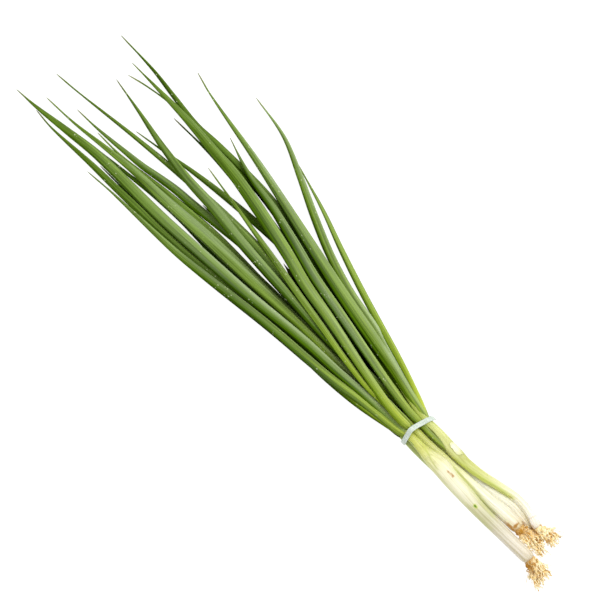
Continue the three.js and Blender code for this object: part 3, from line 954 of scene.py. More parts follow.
class Sweep:
    """A Geometry Nodes tree that sweeps an oval along curves, and what turns it into plain meshes.

    Every vertex of the result carries the middle, side direction and heading of the curve where it
    was made, and the number of its curve.
    """

    CARRIED = {
        "middle": "FLOAT_VECTOR", "side": "FLOAT_VECTOR", "heading": "FLOAT_VECTOR", "strand": "INT",
    }

    def __init__(self) -> None:
        """Builds the tree."""
        tree = bpy.data.node_groups.new("swept_strands", "GeometryNodeTree")
        sockets = tree.interface
        self.ids: dict[str, str] = {}
        for name, kind in (
            ("Curves", "NodeSocketGeometry"),
            ("Sides", "NodeSocketInt"),
            ("Flatness", "NodeSocketFloat"),
            ("Material", "NodeSocketMaterial"),
        ):
            made = sockets.new_socket(name=name, in_out="INPUT", socket_type=kind)
            self.ids[name] = made.identifier
        sockets.new_socket(name="Mesh", in_out="OUTPUT", socket_type="NodeSocketGeometry")
        source = add_node(tree, "NodeGroupInput")

        fields = {
            "middle": add_node(tree, "GeometryNodeInputPosition").outputs[0],
            "side": add_node(tree, "GeometryNodeInputNormal").outputs[0],
            "heading": add_node(tree, "GeometryNodeInputTangent").outputs[0],
        }
        curves = source.outputs["Curves"]
        on_points = add_node(tree, "GeometryNodeCaptureAttribute", {"Geometry": curves})
        for name in fields:
            on_points.capture_items.new("VECTOR", name)
        feed(tree, on_points, fields)
        curves = on_points.outputs["Geometry"]
        on_curves = add_node(tree, "GeometryNodeCaptureAttribute", {"Geometry": curves}, domain="CURVE")
        on_curves.capture_items.new("INT", "strand")
        tree.links.new(add_node(tree, "GeometryNodeInputIndex").outputs[0], on_curves.inputs["strand"])

        circle = add_node(
            tree, "GeometryNodeCurvePrimitiveCircle",
            {"Resolution": source.outputs["Sides"], "Radius": 1.0},
        )
        squash = add_node(tree, "ShaderNodeCombineXYZ", {0: 1.0, 1: source.outputs["Flatness"], 2: 1.0})
        oval = add_node(
            tree, "GeometryNodeTransform",
            {"Geometry": circle.outputs["Curve"], "Scale": squash.outputs[0]},
        )
        radius = add_node(tree, "GeometryNodeInputRadius")
        swept = add_node(
            tree, "GeometryNodeCurveToMesh",
            {
                "Curve": on_curves.outputs["Geometry"],
                "Profile Curve": oval.outputs["Geometry"],
                "Scale": radius.outputs[0],
                "Fill Caps": True,
            },
        ).outputs["Mesh"]
        carried = {name: on_points.outputs[name] for name in fields}
        carried["strand"] = on_curves.outputs["strand"]
        for name, kind in self.CARRIED.items():
            stored = add_node(
                tree, "GeometryNodeStoreNamedAttribute", {"Geometry": swept, "Name": name},
                data_type=kind, domain="POINT",
            )
            tree.links.new(carried[name], stored.inputs["Value"])
            swept = stored.outputs["Geometry"]
        real = add_node(tree, "GeometryNodeRealizeInstances", {"Geometry": swept})
        smooth = add_node(
            tree, "GeometryNodeSetShadeSmooth", {"Geometry": real.outputs[0], "Shade Smooth": True}
        )
        dressed = add_node(
            tree, "GeometryNodeSetMaterial",
            {"Geometry": smooth.outputs[0], "Material": source.outputs["Material"]},
        )
        add_node(tree, "NodeGroupOutput", {0: dressed.outputs[0]})
        self.tree = tree

    def run(
        self,
        name: str,
        tubes: Sequence[Tube],
        sides: int,
        flatness: float,
        material: Material,
    ) -> Object:
        """Sweeps the oval along curves.

        Args:
            name: Name of the new piece.
            tubes: The curves, with the half widths there.
            sides: How many sides the oval has.
            flatness: Height of the oval as a share of its width.
            material: Material of the piece.

        Returns:
            The piece, as a plain mesh at the origin.
        """
        curve = bpy.data.curves.new(name + "_route", "CURVE")
        curve.dimensions = "3D"
        curve.twist_mode = "Z_UP"
        for points, halves in tubes:
            spline = curve.splines.new("POLY")
            spline.points.add(len(points) - 1)
            moved = to_frame(points)
            spline.points.foreach_set("co", np.column_stack([moved, np.ones(len(moved))]).ravel())
            spline.points.foreach_set("radius", np.asarray(halves) * MM)
        holder = add_object(name + "_route", curve)
        modifier = holder.modifiers.new("sweep", "NODES")
        modifier.node_group = self.tree
        modifier[self.ids["Sides"]] = sides
        modifier[self.ids["Flatness"]] = flatness
        modifier[self.ids["Material"]] = material
        graph = bpy.context.evaluated_depsgraph_get()
        mesh = bpy.data.meshes.new_from_object(holder.evaluated_get(graph), depsgraph=graph)
        bpy.data.objects.remove(holder)
        mesh.name = name
        return add_object(name, mesh)


def add_object(name: str, data: ID) -> Object:
    """Adds an object to the scene.

    Args:
        name: Its name.
        data: The mesh, curve, lamp or camera that it holds.

    Returns:
        The object.
    """
    made = bpy.data.objects.new(name, data)
    bpy.context.scene.collection.objects.link(made)
    return made


def to_frame(points: np.ndarray) -> np.ndarray:
    """Moves points from mm seen from the tie to metres in the part's frame."""
    return (np.asarray(points, dtype=float) - FOOTPRINT_MIDDLE) * MM


def vertex_places(mesh: Mesh) -> np.ndarray:
    """Reads where a mesh's vertices are.

    Args:
        mesh: The mesh.

    Returns:
        One row of x, y and z for each vertex, m.
    """
    places = np.zeros(len(mesh.vertices) * 3)
    mesh.vertices.foreach_get("co", places)
    return places.reshape(-1, 3)


def read_carried(mesh: Mesh, name: str) -> np.ndarray:
    """Reads an attribute that the sweep left on a mesh.

    Args:
        mesh: The mesh.
        name: The attribute.

    Returns:
        A number or a row of three for each vertex.
    """
    data = mesh.attributes[name].data
    if Sweep.CARRIED[name] == "INT":
        numbers = np.zeros(len(data), dtype=np.int32)
        data.foreach_get("value", numbers)
        return numbers
    vectors = np.zeros(len(data) * 3)
    data.foreach_get("vector", vectors)
    return vectors.reshape(-1, 3)


def write_marks(mesh: Mesh, marks: dict[Mark, np.ndarray]) -> None:
    """Stores what a material reads on a mesh's vertices.

    Args:
        mesh: The mesh.
        marks: For each mark, a number or a vector for each vertex.
    """
    for mark, values in marks.items():
        kind, key = ("FLOAT_VECTOR", "vector") if values.ndim == 2 else ("FLOAT", "value")
        made = mesh.attributes.new(mark.value, kind, "POINT")
        made.data.foreach_set(key, values.astype(np.float32).ravel())


@dataclass
class Skin:
    """A swept piece's vertices in terms of the strand that each was swept along.

    Attributes:
        mesh: The mesh.
        strand: Number of each vertex's strand.
        middle: The strand's middle line there, mm from the tie.
        offset: From the middle line to the vertex, mm.
        out: How far that is across the strand, level and towards +Y, mm.
        over: How far it is square to that and to the strand, upwards, mm.
        angle: Turn of the vertex round the strand, radians, from its +Y side over the top.
    """

    mesh: Mesh
    strand: np.ndarray
    middle: np.ndarray
    offset: np.ndarray
    out: np.ndarray
    over: np.ndarray
    angle: np.ndarray

    @classmethod
    def of(cls, piece: Object, flatness: float) -> "Skin":
        """Reads a swept piece.

        Args:
            piece: The piece.
            flatness: Height of its section as a share of its width.

        Returns:
            Its skin.
        """
        mesh = piece.data
        strand, middle, side, heading = (
            read_carried(mesh, name) for name in ("strand", "middle", "side", "heading")
        )
        side /= np.linalg.norm(side, axis=1, keepdims=True)
        side *= np.where(side[:, 1:2] < 0, -1.0, 1.0)
        up = np.cross(heading, side)
        up *= np.where(up[:, 2:3] < 0, -1.0, 1.0)
        up /= np.linalg.norm(up, axis=1, keepdims=True)
        offset = (vertex_places(mesh) - middle) / MM
        out = np.einsum("ij,ij->i", offset, side)
        over = np.einsum("ij,ij->i", offset, up)
        angle = np.arctan2(over / flatness, out)
        return cls(mesh, strand, middle / MM + FOOTPRINT_MIDDLE, offset, out, over, angle)

    def finish(self, scale: np.ndarray) -> None:
        """Moves the vertices and drops the carried attributes.

        Args:
            scale: How far from its middle line each vertex goes, as a share of how far it was.
        """
        moved = self.middle + self.offset * scale[:, None]
        moved[:, 2] = np.maximum(moved[:, 2], 0.0)
        self.mesh.vertices.foreach_set("co", to_frame(moved).ravel())
        for name in Sweep.CARRIED:
            self.mesh.attributes.remove(self.mesh.attributes[name])
        for face in self.mesh.polygons:
            if len(face.vertices) > 4:  # a flat cap
                face.use_smooth = False
        face_outward(self.mesh)


def face_outward(mesh: Mesh) -> None:
    """Turns every face of a closed mesh outward if its volume says that they point in.

    Args:
        mesh: The mesh.
    """
    mesh.calc_loop_triangles()
    count = len(mesh.loop_triangles)
    corners = np.zeros(count * 3, dtype=np.int32)
    mesh.loop_triangles.foreach_get("vertices", corners)
    a, b, c = vertex_places(mesh)[corners].reshape(count, 3, 3).transpose(1, 0, 2)
    if np.einsum("ij,ij->i", a, np.cross(b, c)).sum() < 0:
        mesh.flip_normals()
    mesh.update()


def dress(piece: Object, slot: str, *nodes: str) -> None:
    """Makes a finished piece ride, hides the CAD nodes that it stands for, and reports it.

    Args:
        piece: The piece, at the origin.
        slot: Its material slot, which is not used.
        nodes: The CAD nodes that it stands for; none where it is added to them.
    """
    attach(piece, BODY)
    if nodes:
        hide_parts(*nodes)
    log.info("%s: %d faces, for %s", piece.name, len(piece.data.polygons), ", ".join(nodes) or "no node")


def smooth_mesh(
    name: str, points: np.ndarray, faces: Sequence[tuple[int, ...]], material: Material
) -> Mesh:
    """Makes a smooth closed mesh whose faces point outward.

    Args:
        name: Its name.
        points: Its vertices, mm from the tie.
        faces: The vertices of each face.
        material: Its material.

    Returns:
        The mesh.
    """
    mesh = bpy.data.meshes.new(name)
    mesh.from_pydata(to_frame(points).tolist(), [], faces)
    mesh.polygons.foreach_set("use_smooth", [True] * len(faces))
    mesh.materials.append(material)
    face_outward(mesh)
    return mesh


# ---- The bunch's sub-assemblies ----


def part_of(piece: Object, name: str, kept: np.ndarray) -> Object:
    """Copies one part of a closed piece and closes it again where it is cut.

    Args:
        piece: The closed piece.
        name: Name of the copy.
        kept: For each vertex, whether it is in the part.

    Returns:
        The part, whose cut has a flat cap.
    """
    cut = bmesh.new()
    cut.from_mesh(piece.data)
    dropped = [vertex for vertex, stays in zip(list(cut.verts), kept) if not stays]
    bmesh.ops.delete(cut, geom=dropped, context="VERTS")
    rim = [edge for edge in cut.edges if edge.is_boundary]
    for face in bmesh.ops.holes_fill(cut, edges=rim, sides=0)["faces"]:
        face.smooth = False
    mesh = bpy.data.meshes.new(name)
    cut.to_mesh(mesh)
    cut.free()
    mesh.materials.append(piece.data.materials[0])
    return add_object(name, mesh)


def join(main: Object, other: Object) -> None:
    """Joins another piece into the main one.

    Args:
        main: The piece that stays.
        other: The piece that becomes part of it.
    """
    both = [main, other]
    with bpy.context.temp_override(
        active_object=main, object=main, selected_objects=both, selected_editable_objects=both
    ):
        bpy.ops.object.join()


@dataclass(frozen=True)
class Stripe:
    """A line along a sheath: its route seen from the tie and half its width, mm, and its strength.

    It is green where the strength is above 0, and a white painted highlight where it is below 0.
    """

    route: Route
    width: float
    strength: float


@dataclass(frozen=True)
class SheathEdge:
    """The free edge of a sheath that wraps over the next one.

    Attributes:
        route: Where it runs, seen from the tie, mm.
        rise: How far it stands off, mm.
        side: 1 where the outer sheath is on the +Y side of it, -1 where it is on the other.
        falloff: How soon the outer sheath lies close again, mm.
    """

    route: Route
    rise: float
    side: float
    falloff: float = 3.0


@dataclass(frozen=True)
class Spot:
    """A brown or green place on a sheath: x and y, its radii, mm, and how strong it is."""

    x: float
    y: float
    along: float
    across: float
    strength: float = 1.0


@dataclass(frozen=True)
class ColumnLook:
    """What the sheaths of one plant look like.

    Attributes:
        stops: x from the tie, mm, and the colour there.
        stripes: Green lines, and white streaks that are painted highlights.
        edges: Sheath edges.
        spots: Brown soil.
        bruises: Green bruises; on a, one is painted shade in the dark gap by b's neck.
    """

    stops: Sequence[tuple[float, str]]
    stripes: Sequence[Stripe] = ()
    edges: Sequence[SheathEdge] = ()
    spots: Sequence[Spot] = ()
    bruises: Sequence[Spot] = ()


@dataclass
class PlantPiece:
    """A piece of one plant.

    Attributes:
        name: Letter of the plant.
        strands: Every strand of the bunch.
    """

    name: str
    strands: list[Strand]

    @property
    def plant(self) -> Plant:
        """The plant that it belongs to."""
        return PLANTS[self.name]

    @property
    def column(self) -> Strand:
        """The strand of the plant's shank and neck."""
        return next(s for s in self.strands if s.leaf is None and s.plant == self.name)


@dataclass
class Column(PlantPiece):
    """The sheathed column of one plant: the white shank and the green neck, as one surface.

    Attributes:
        look: Its colours, lines and sheath edges.
        step: Length of one stretch, mm.
        sides: Sides of its section.
        flutes: Fine lengthwise veins round it.
        flute_depth: Their depth, mm.
        lobe_share: Height of its five soft lobes, as a share of its radius.
        ripple_share: Height of the nine ripples between them, the same.
        seams: From and to where round it each seam of the sheaths may start, radians.
        seam_rise: How far the seams stand off, mm.
        seam_twist: How far they turn round it, radians for each mm.
        seam_fade: How soon the outer sheath lies close again, radians.
        neck_narrowing: x from which the neck narrows among the leaves, mm.
        neck_share: Its width at its end, as a share of the full width.
        foot_rounding: Length over which the foot is rounded, mm.
        foot_share: Its width there, as a share of the full width.
        foot_stain: How brown it is at the foot.
        foot_stain_run: How soon that fades, mm.
        bruise_depth: How dark the green bruises are.
        shown: Sine of the angle round it over which its marks fade in towards the top.
        mark_fade: Length over which a mark fades at its ends, mm.
    """

    look: ColumnLook
    step: float = 1.2
    sides: int = 72
    flutes: int = 19
    flute_depth: float = 0.035
    lobe_share: float = 0.012
    ripple_share: float = 0.008
    seams: tuple[tuple[float, float], ...] = ((2.4, 2.9), (-1.5, -0.6), (0.2, 0.6))
    seam_rise: float = 0.07
    seam_twist: float = 0.006
    seam_fade: float = 0.7
    neck_narrowing: float = 8.0
    neck_share: float = 0.3
    foot_rounding: float = 3.0
    foot_share: float = 0.8
    foot_stain: float = 0.55
    foot_stain_run: float = 1.4
    bruise_depth: float = 2.4
    shown: tuple[float, float] = (-0.5, 0.1)
    mark_fade: float = 3.0

    def build(self, sweep: Sweep, material: Material) -> Object:
        """Builds the shank and the neck.

        Args:
            sweep: The tree that sweeps strands.
            material: The sheaths' material.

        Returns:
            The neck, which still has to join its leaves. The shank is finished.
        """
        foot, neck, end = self.plant.column[0][0], self.plant.neck, LAYING.neck_end
        below = np.linspace(foot, neck, math.ceil((neck - foot) / self.step) + 1)
        above = np.linspace(neck, end, math.ceil((end - neck) / self.step) + 1)
        xs = np.concatenate([below, above[1:]])
        rounded = np.sqrt(np.clip((xs - foot) / self.foot_rounding, 0, 1))
        narrowed = 1 - (1 - self.neck_share) * smoothstep(xs, self.neck_narrowing, end)
        full = self.foot_share + (1 - self.foot_share) * rounded
        tube = (self.column.points(xs), self.column.half_width(xs) * full * narrowed)
        whole = sweep.run(f"column_{self.name}", [tube], self.sides, LAYING.flatten, material)
        skin = Skin.of(whole, LAYING.flatten)
        at = skin.middle[:, 0]
        self.shape(skin, foot)
        shank = part_of(whole, f"shank_{self.name}", at <= neck + 0.1)
        sheath = part_of(whole, f"neck_{self.name}", at >= neck - 0.1)
        bpy.data.objects.remove(whole)
        dress(shank, "shank", f"plant_{self.name}_shank")
        return sheath

    def shape(self, skin: Skin, foot: float) -> None:
        """Gives the column its flutes, seams and sheath edges, and writes what the material reads.

        Args:
            skin: The swept column.
            foot: x of the root plate, mm.
        """
        draw = random.Random(self.plant.seed + 1)
        x, angle = skin.middle[:, 0], skin.angle
        y = skin.middle[:, 1] + skin.out
        radius = np.maximum(np.linalg.norm(skin.offset, axis=1), 0.5)
        on_top = smoothstep(np.sin(angle), *self.shown)
        phase = draw.uniform(0, 6)
        rise = self.lobe_share * radius * np.cos(5 * angle + phase)
        rise += self.ripple_share * radius * np.cos(9 * angle + x / 30)
        rise += self.flute_depth * np.cos(self.flutes * angle + 2 * np.sin(x / 33.0) + phase)
        for low, high in self.seams:
            turn = draw.uniform(low, high)
            seam = turn + self.seam_twist * (x - foot) + 0.1 * np.sin(x / 21.0 + turn * 3)
            past = np.angle(np.exp(1j * (angle - seam)))
            rise += self.seam_rise * np.where(past > 0, np.exp(-past / self.seam_fade), 0.0)
        for edge in self.look.edges:
            past = (y - through(edge.route, x)) * edge.side
            lift = smoothstep(past, -0.25, 0.25) * np.exp(-np.maximum(past, 0) / edge.falloff)
            rise += edge.rise * lift * on_top * self.within(edge.route, x)
        green = np.zeros(len(x))
        # A stripe below 0 is a painted highlight: a white streak where a flank should look lit.
        for stripe in self.look.stripes:
            off = (y - through(stripe.route, x)) / stripe.width
            line = stripe.strength * np.exp(-(off**2)) * on_top * self.within(stripe.route, x)
            green = np.where(np.abs(line) > np.abs(green), line, green)
        bruises = self.bruise_depth * self.patches(self.look.bruises, x, y)
        green = np.maximum(green, bruises * on_top)
        soiled = self.foot_stain * np.exp(-np.maximum(x - foot, 0) / self.foot_stain_run)
        stain = np.maximum(self.patches(self.look.spots, x, y) * on_top, soiled)
        around = np.column_stack([skin.out + draw.uniform(0, PATTERN_SHIFT), skin.over, x])
        write_marks(
            skin.mesh, {Mark.SKIN: around, Mark.RIPE: x, Mark.STAIN: stain, Mark.GREEN: green}
        )
        skin.finish(1.0 + rise / radius)

    def within(self, route: Route, x: np.ndarray) -> np.ndarray:
        """Returns 1 where x is along a route and 0 past its ends, with a soft change."""
        low, high, fade = route[0][0], route[-1][0], self.mark_fade
        return smoothstep(x, low, low + fade) * (1 - smoothstep(x, high - fade, high))

    def patches(self, spots: Sequence[Spot], x: np.ndarray, y: np.ndarray) -> np.ndarray:
        """Finds how strong the strongest of several spots is.

        Args:
            spots: The spots.
            x: Where to look, mm from the tie.
            y: The same across the bunch.

        Returns:
            The strength at each of these places, 0 where there is none.
        """
        found = np.zeros(len(x))
        for spot in spots:
            far = ((x - spot.x) / spot.along) ** 2 + ((y - spot.y) / spot.across) ** 2
            found = np.maximum(found, spot.strength * np.exp(-far))
        return found


@dataclass(frozen=True)
class Ridge:
    """A soft ridge along a leaf, or a shallow channel where its height is below 0.

    Attributes:
        turn: How far round the leaf it is from the crease, radians.
        width: Half its width, radians.
        height: Its height as a share of the leaf's radius.
    """

    turn: float
    width: float
    height: float


@dataclass
class LeafSpray(PlantPiece):
    """The leaves of one plant, which rise from its neck.

    Attributes:
        step: Length of one stretch of a leaf, mm.
        sides: Sides of a leaf's section.
        rib_count: Fine lengthwise ribs round a leaf.
        rib_depth: Their depth as a share of the leaf's radius.
        ridges: The ridges and channels along a leaf.
        ridges_in: From and to which x they grow out of the round foot of a leaf, mm.
        ridges_out: How far from the tip they start to fade, and where they are gone, mm.
        crease_reach: How far from the top the crease may lie, in half turns.
        flattening: How much a leaf is dented here and there, as a share of its radius.
        rise_run: Length over which a leaf comes out of its neck, mm.
        start_share: Its width where it comes out, as a share of the full width.
        tip_run: Length over which the blunt end of a strand is drawn to a point, mm.
        tip_share: Width of that point, as a share of the blunt end's.
        boxiness: How square the section is; 2 is an oval.
        painted_shade_side: How much deeper the green is painted on the +Y side, as painted shade for the
            side turned from the key light.
        painted_edge_shade: How much deeper still the green is painted at that side's edge, as painted
            shade where leaves meet.
        thinning: From and to which x leaves stand less close, so that the painted edge shade fades, mm.
        thinned: How much of the painted edge shade is lost by there.
        tip_light: How much of all the depth a leaf loses towards its tip.
        lighter: From and to which x it loses that, mm.
        wax_along: x and how much of its bloom a leaf has there.
        dry_run: How far from the tip it may be dry, mm.
        pattern_step: How far the patterns of two leaves are shifted from each other, mm.
    """

    step: float = 2.4
    sides: int = 36
    rib_count: int = 9
    rib_depth: float = 0.014
    ridges: tuple[Ridge, ...] = (
        Ridge(0.0, 0.16, 0.10), Ridge(-0.55, 0.32, -0.15), Ridge(0.95, 0.20, 0.07),
        Ridge(0.55, 0.22, -0.09),
    )
    ridges_in: tuple[float, float] = (12.0, 45.0)
    ridges_out: tuple[float, float] = (50.0, 5.0)
    crease_reach: float = 0.32
    flattening: float = 0.03
    rise_run: float = 6.0
    start_share: float = 0.6
    tip_run: float = 7.0
    tip_share: float = 0.25
    boxiness: float = 2.4
    painted_shade_side: float = 0.62
    painted_edge_shade: float = 0.9
    thinning: tuple[float, float] = (105.0, 165.0)
    thinned: float = 0.8
    tip_light: float = 0.38
    lighter: tuple[float, float] = (130.0, 200.0)
    wax_along: Route = (
        (-30, 0.30), (40, 0.80), (90, 0.80), (150, 0.60), (215, 0.40), (250, 0.12),
    )
    dry_run: float = 12.0
    pattern_step: float = 40.0

    def build(self, sweep: Sweep, material: Material, neck: Object) -> None:
        """Builds the spray as one piece.

        Args:
            sweep: The tree that sweeps strands.
            material: The leaf material.
            neck: The plant's neck, which becomes part of the piece.
        """
        own = [s for s in self.strands if s.leaf is not None and s.plant == self.name]
        tubes = [self.leaf_tube(strand) for strand in own]
        piece = sweep.run(f"leaves_{self.name}", tubes, self.sides, LAYING.flatten, material)
        self.shape(piece, own)
        join(piece, neck)
        dress(piece, "leaf", f"plant_{self.name}_leaves")

    def leaf_tube(self, strand: Strand) -> Tube:
        """Draws one leaf, from inside its neck to a fine tip.

        Args:
            strand: The leaf's strand.

        Returns:
            Its tube.
        """
        start = strand.start
        if start >= LEAF_START:
            start = BAND.lie(float(strand.across(np.array([0.0]))[0])) - BAND.width / 3
        xs = np.arange(start, strand.end, self.step)
        xs = np.append(xs[xs < strand.end - 0.8], strand.end)
        left = strand.end - xs
        out = smoothstep(xs, start, start + self.rise_run)
        narrowed = self.tip_share + (1 - self.tip_share) * np.sqrt(np.clip(left / self.tip_run, 0, 1))
        halves = strand.half_width(xs) * narrowed * (self.start_share + (1 - self.start_share) * out)
        points = strand.points(xs)
        inside = np.minimum(points[:, 2], self.column.height(xs) + 0.3)
        points[:, 2] = inside + (points[:, 2] - inside) * out
        floor = halves * LAYING.flatten
        points[:, 2] = np.where(left < self.tip_run, np.maximum(points[:, 2] - 0.2, floor), points[:, 2])
        return points, halves

    def shape(self, piece: Object, own: list[Strand]) -> None:
        """Gives the leaves their ribs, creases and dents, and writes what the material reads.

        Args:
            piece: The swept piece.
            own: The plant's leaves, in the order of the piece's strands.
        """
        skin = Skin.of(piece, LAYING.flatten)
        draw = random.Random(self.plant.seed)
        x = skin.middle[:, 0]
        ripe, scale = x.copy(), np.ones(len(x))
        depth, bloom, tip = np.zeros((3, len(x)))
        for number, strand in enumerate(own):
            here = skin.strand == number
            leaf, at, angle = strand.leaf, x[here], skin.angle[here]
            phase = draw.uniform(0, 2 * math.pi)
            crease = math.pi * (0.5 + draw.uniform(-self.crease_reach, self.crease_reach))
            wander = crease + 0.25 * np.sin(at / 47.0 + phase)
            fading, gone = self.ridges_out
            grown = smoothstep(at, *self.ridges_in)
            grown *= 1 - smoothstep(at, strand.end - fading, strand.end - gone)
            square = np.abs(np.cos(angle)) ** self.boxiness + np.abs(np.sin(angle)) ** self.boxiness
            push = square ** (-1 / self.boxiness) - 1
            push += self.rib_depth * np.cos(self.rib_count * angle + phase)
            for ridge in self.ridges:
                away = np.angle(np.exp(1j * (angle - wander - ridge.turn)))
                push += grown * ridge.height * np.exp(-((away / ridge.width) ** 2))
            push += self.flattening * grown * np.sin(at / 19.0 + phase) * np.cos(angle - crease)
            scale[here] += push
            ripe[here] -= leaf.tone.greening
            # Painted shade: turned grows towards a leaf's +Y side, which faces away from the key light,
            # and the green is painted deeper there.
            turned = np.cos(angle) + 0.3 * np.sin(at / 31.0 + phase)
            depth[here] = leaf.tone.depth + draw.uniform(-0.06, 0.06) + self.painted_shade_side * turned
            # Painted shade at that side's edge, where leaves meet; it fades where they stand less close.
            edge = np.exp(-(((np.sin(angle) - 0.1) / 0.46) ** 2)) * (0.5 + 0.5 * np.cos(angle))
            painted_shade_kept = 1 - self.thinned * smoothstep(at, *self.thinning)
            depth[here] += self.painted_edge_shade * leaf.edge * edge * grown * painted_shade_kept
            depth[here] *= 1 - self.tip_light * smoothstep(at, *self.lighter)
            wax = np.interp(at, *np.transpose(self.wax_along))
            # Painted highlight: the grey bloom is painted stronger on the -Y side, which faces the key
            # light.
            bloom[here] = leaf.tone.bloom * wax * np.clip(0.38 - 0.62 * turned, 0.0, 1.0)
            dry = smoothstep(at, strand.end - self.dry_run, strand.end - 1.0)
            tip[here] = dry * draw.uniform(0.2, 0.7)
        across = skin.out + self.pattern_step * skin.strand
        around = np.column_stack([across, skin.over + draw.uniform(0, PATTERN_SHIFT), x])
        write_marks(skin.mesh, {
            Mark.SKIN: around, Mark.RIPE: ripe, Mark.DEPTH: depth, Mark.BLOOM: bloom, Mark.TIP: tip,
        })
        skin.finish(scale)


class SeededDraw:
    """The source's own seeded random numbers, so that the main roots lie as they do there."""

    FACTOR, ADDED, SPAN = 1664525, 1013904223, 2**32

    def __init__(self, seed: int) -> None:
        """Starts from a seed."""
        self.state = seed

    def next(self) -> float:
        """Returns the next number, from 0 to 1."""
        self.state = (self.state * self.FACTOR + self.ADDED) % self.SPAN
        return self.state / self.SPAN


@dataclass(frozen=True)
class TuftLook:
    """What one plant's roots look like.

    Attributes:
        soil: How much soil clings to the plate: 0 is clean, 1 or more is all brown.
        soil_y: Where across the bunch it clings most, mm.
        soil_drift: How far that place moves in y for each mm down the roots.
        curly: How many curly rootlets there are.
        hairs: x and y of the ends of the stray hairs, mm.
        clods: x, y and radius of each clod of soil, mm.
    """

    soil: float
    soil_y: float
    soil_drift: float = 0.0
    curly: int = 70
    hairs: Route = ()
    clods: Route = ()


@dataclass(frozen=True)
class RootletSizes:
    """How one kind of rootlet grows. Each pair is the range that a rootlet's value is drawn from.

    Attributes:
        reach: How far it goes, as a share of the tuft's reach.
        crowding: How many more of them end close to the plate; 1 is evenly.
        turns: How far round its curls go, radians.
        thick: Half its width where it starts, mm.
    """

    reach: tuple[float, float]
    crowding: float
    turns: tuple[float, float]
    thick: tuple[float, float]


class Rootlet(Enum):
    """The kinds of rootlet in the mat."""

    MATTED = RootletSizes(reach=(0.45, 0.75), crowding=1.0, turns=(2, 6), thick=(1.0, 1.5))
    CURLY = RootletSizes(reach=(0.3, 0.95), crowding=1.2, turns=(6, 18), thick=(0.34, 0.60))


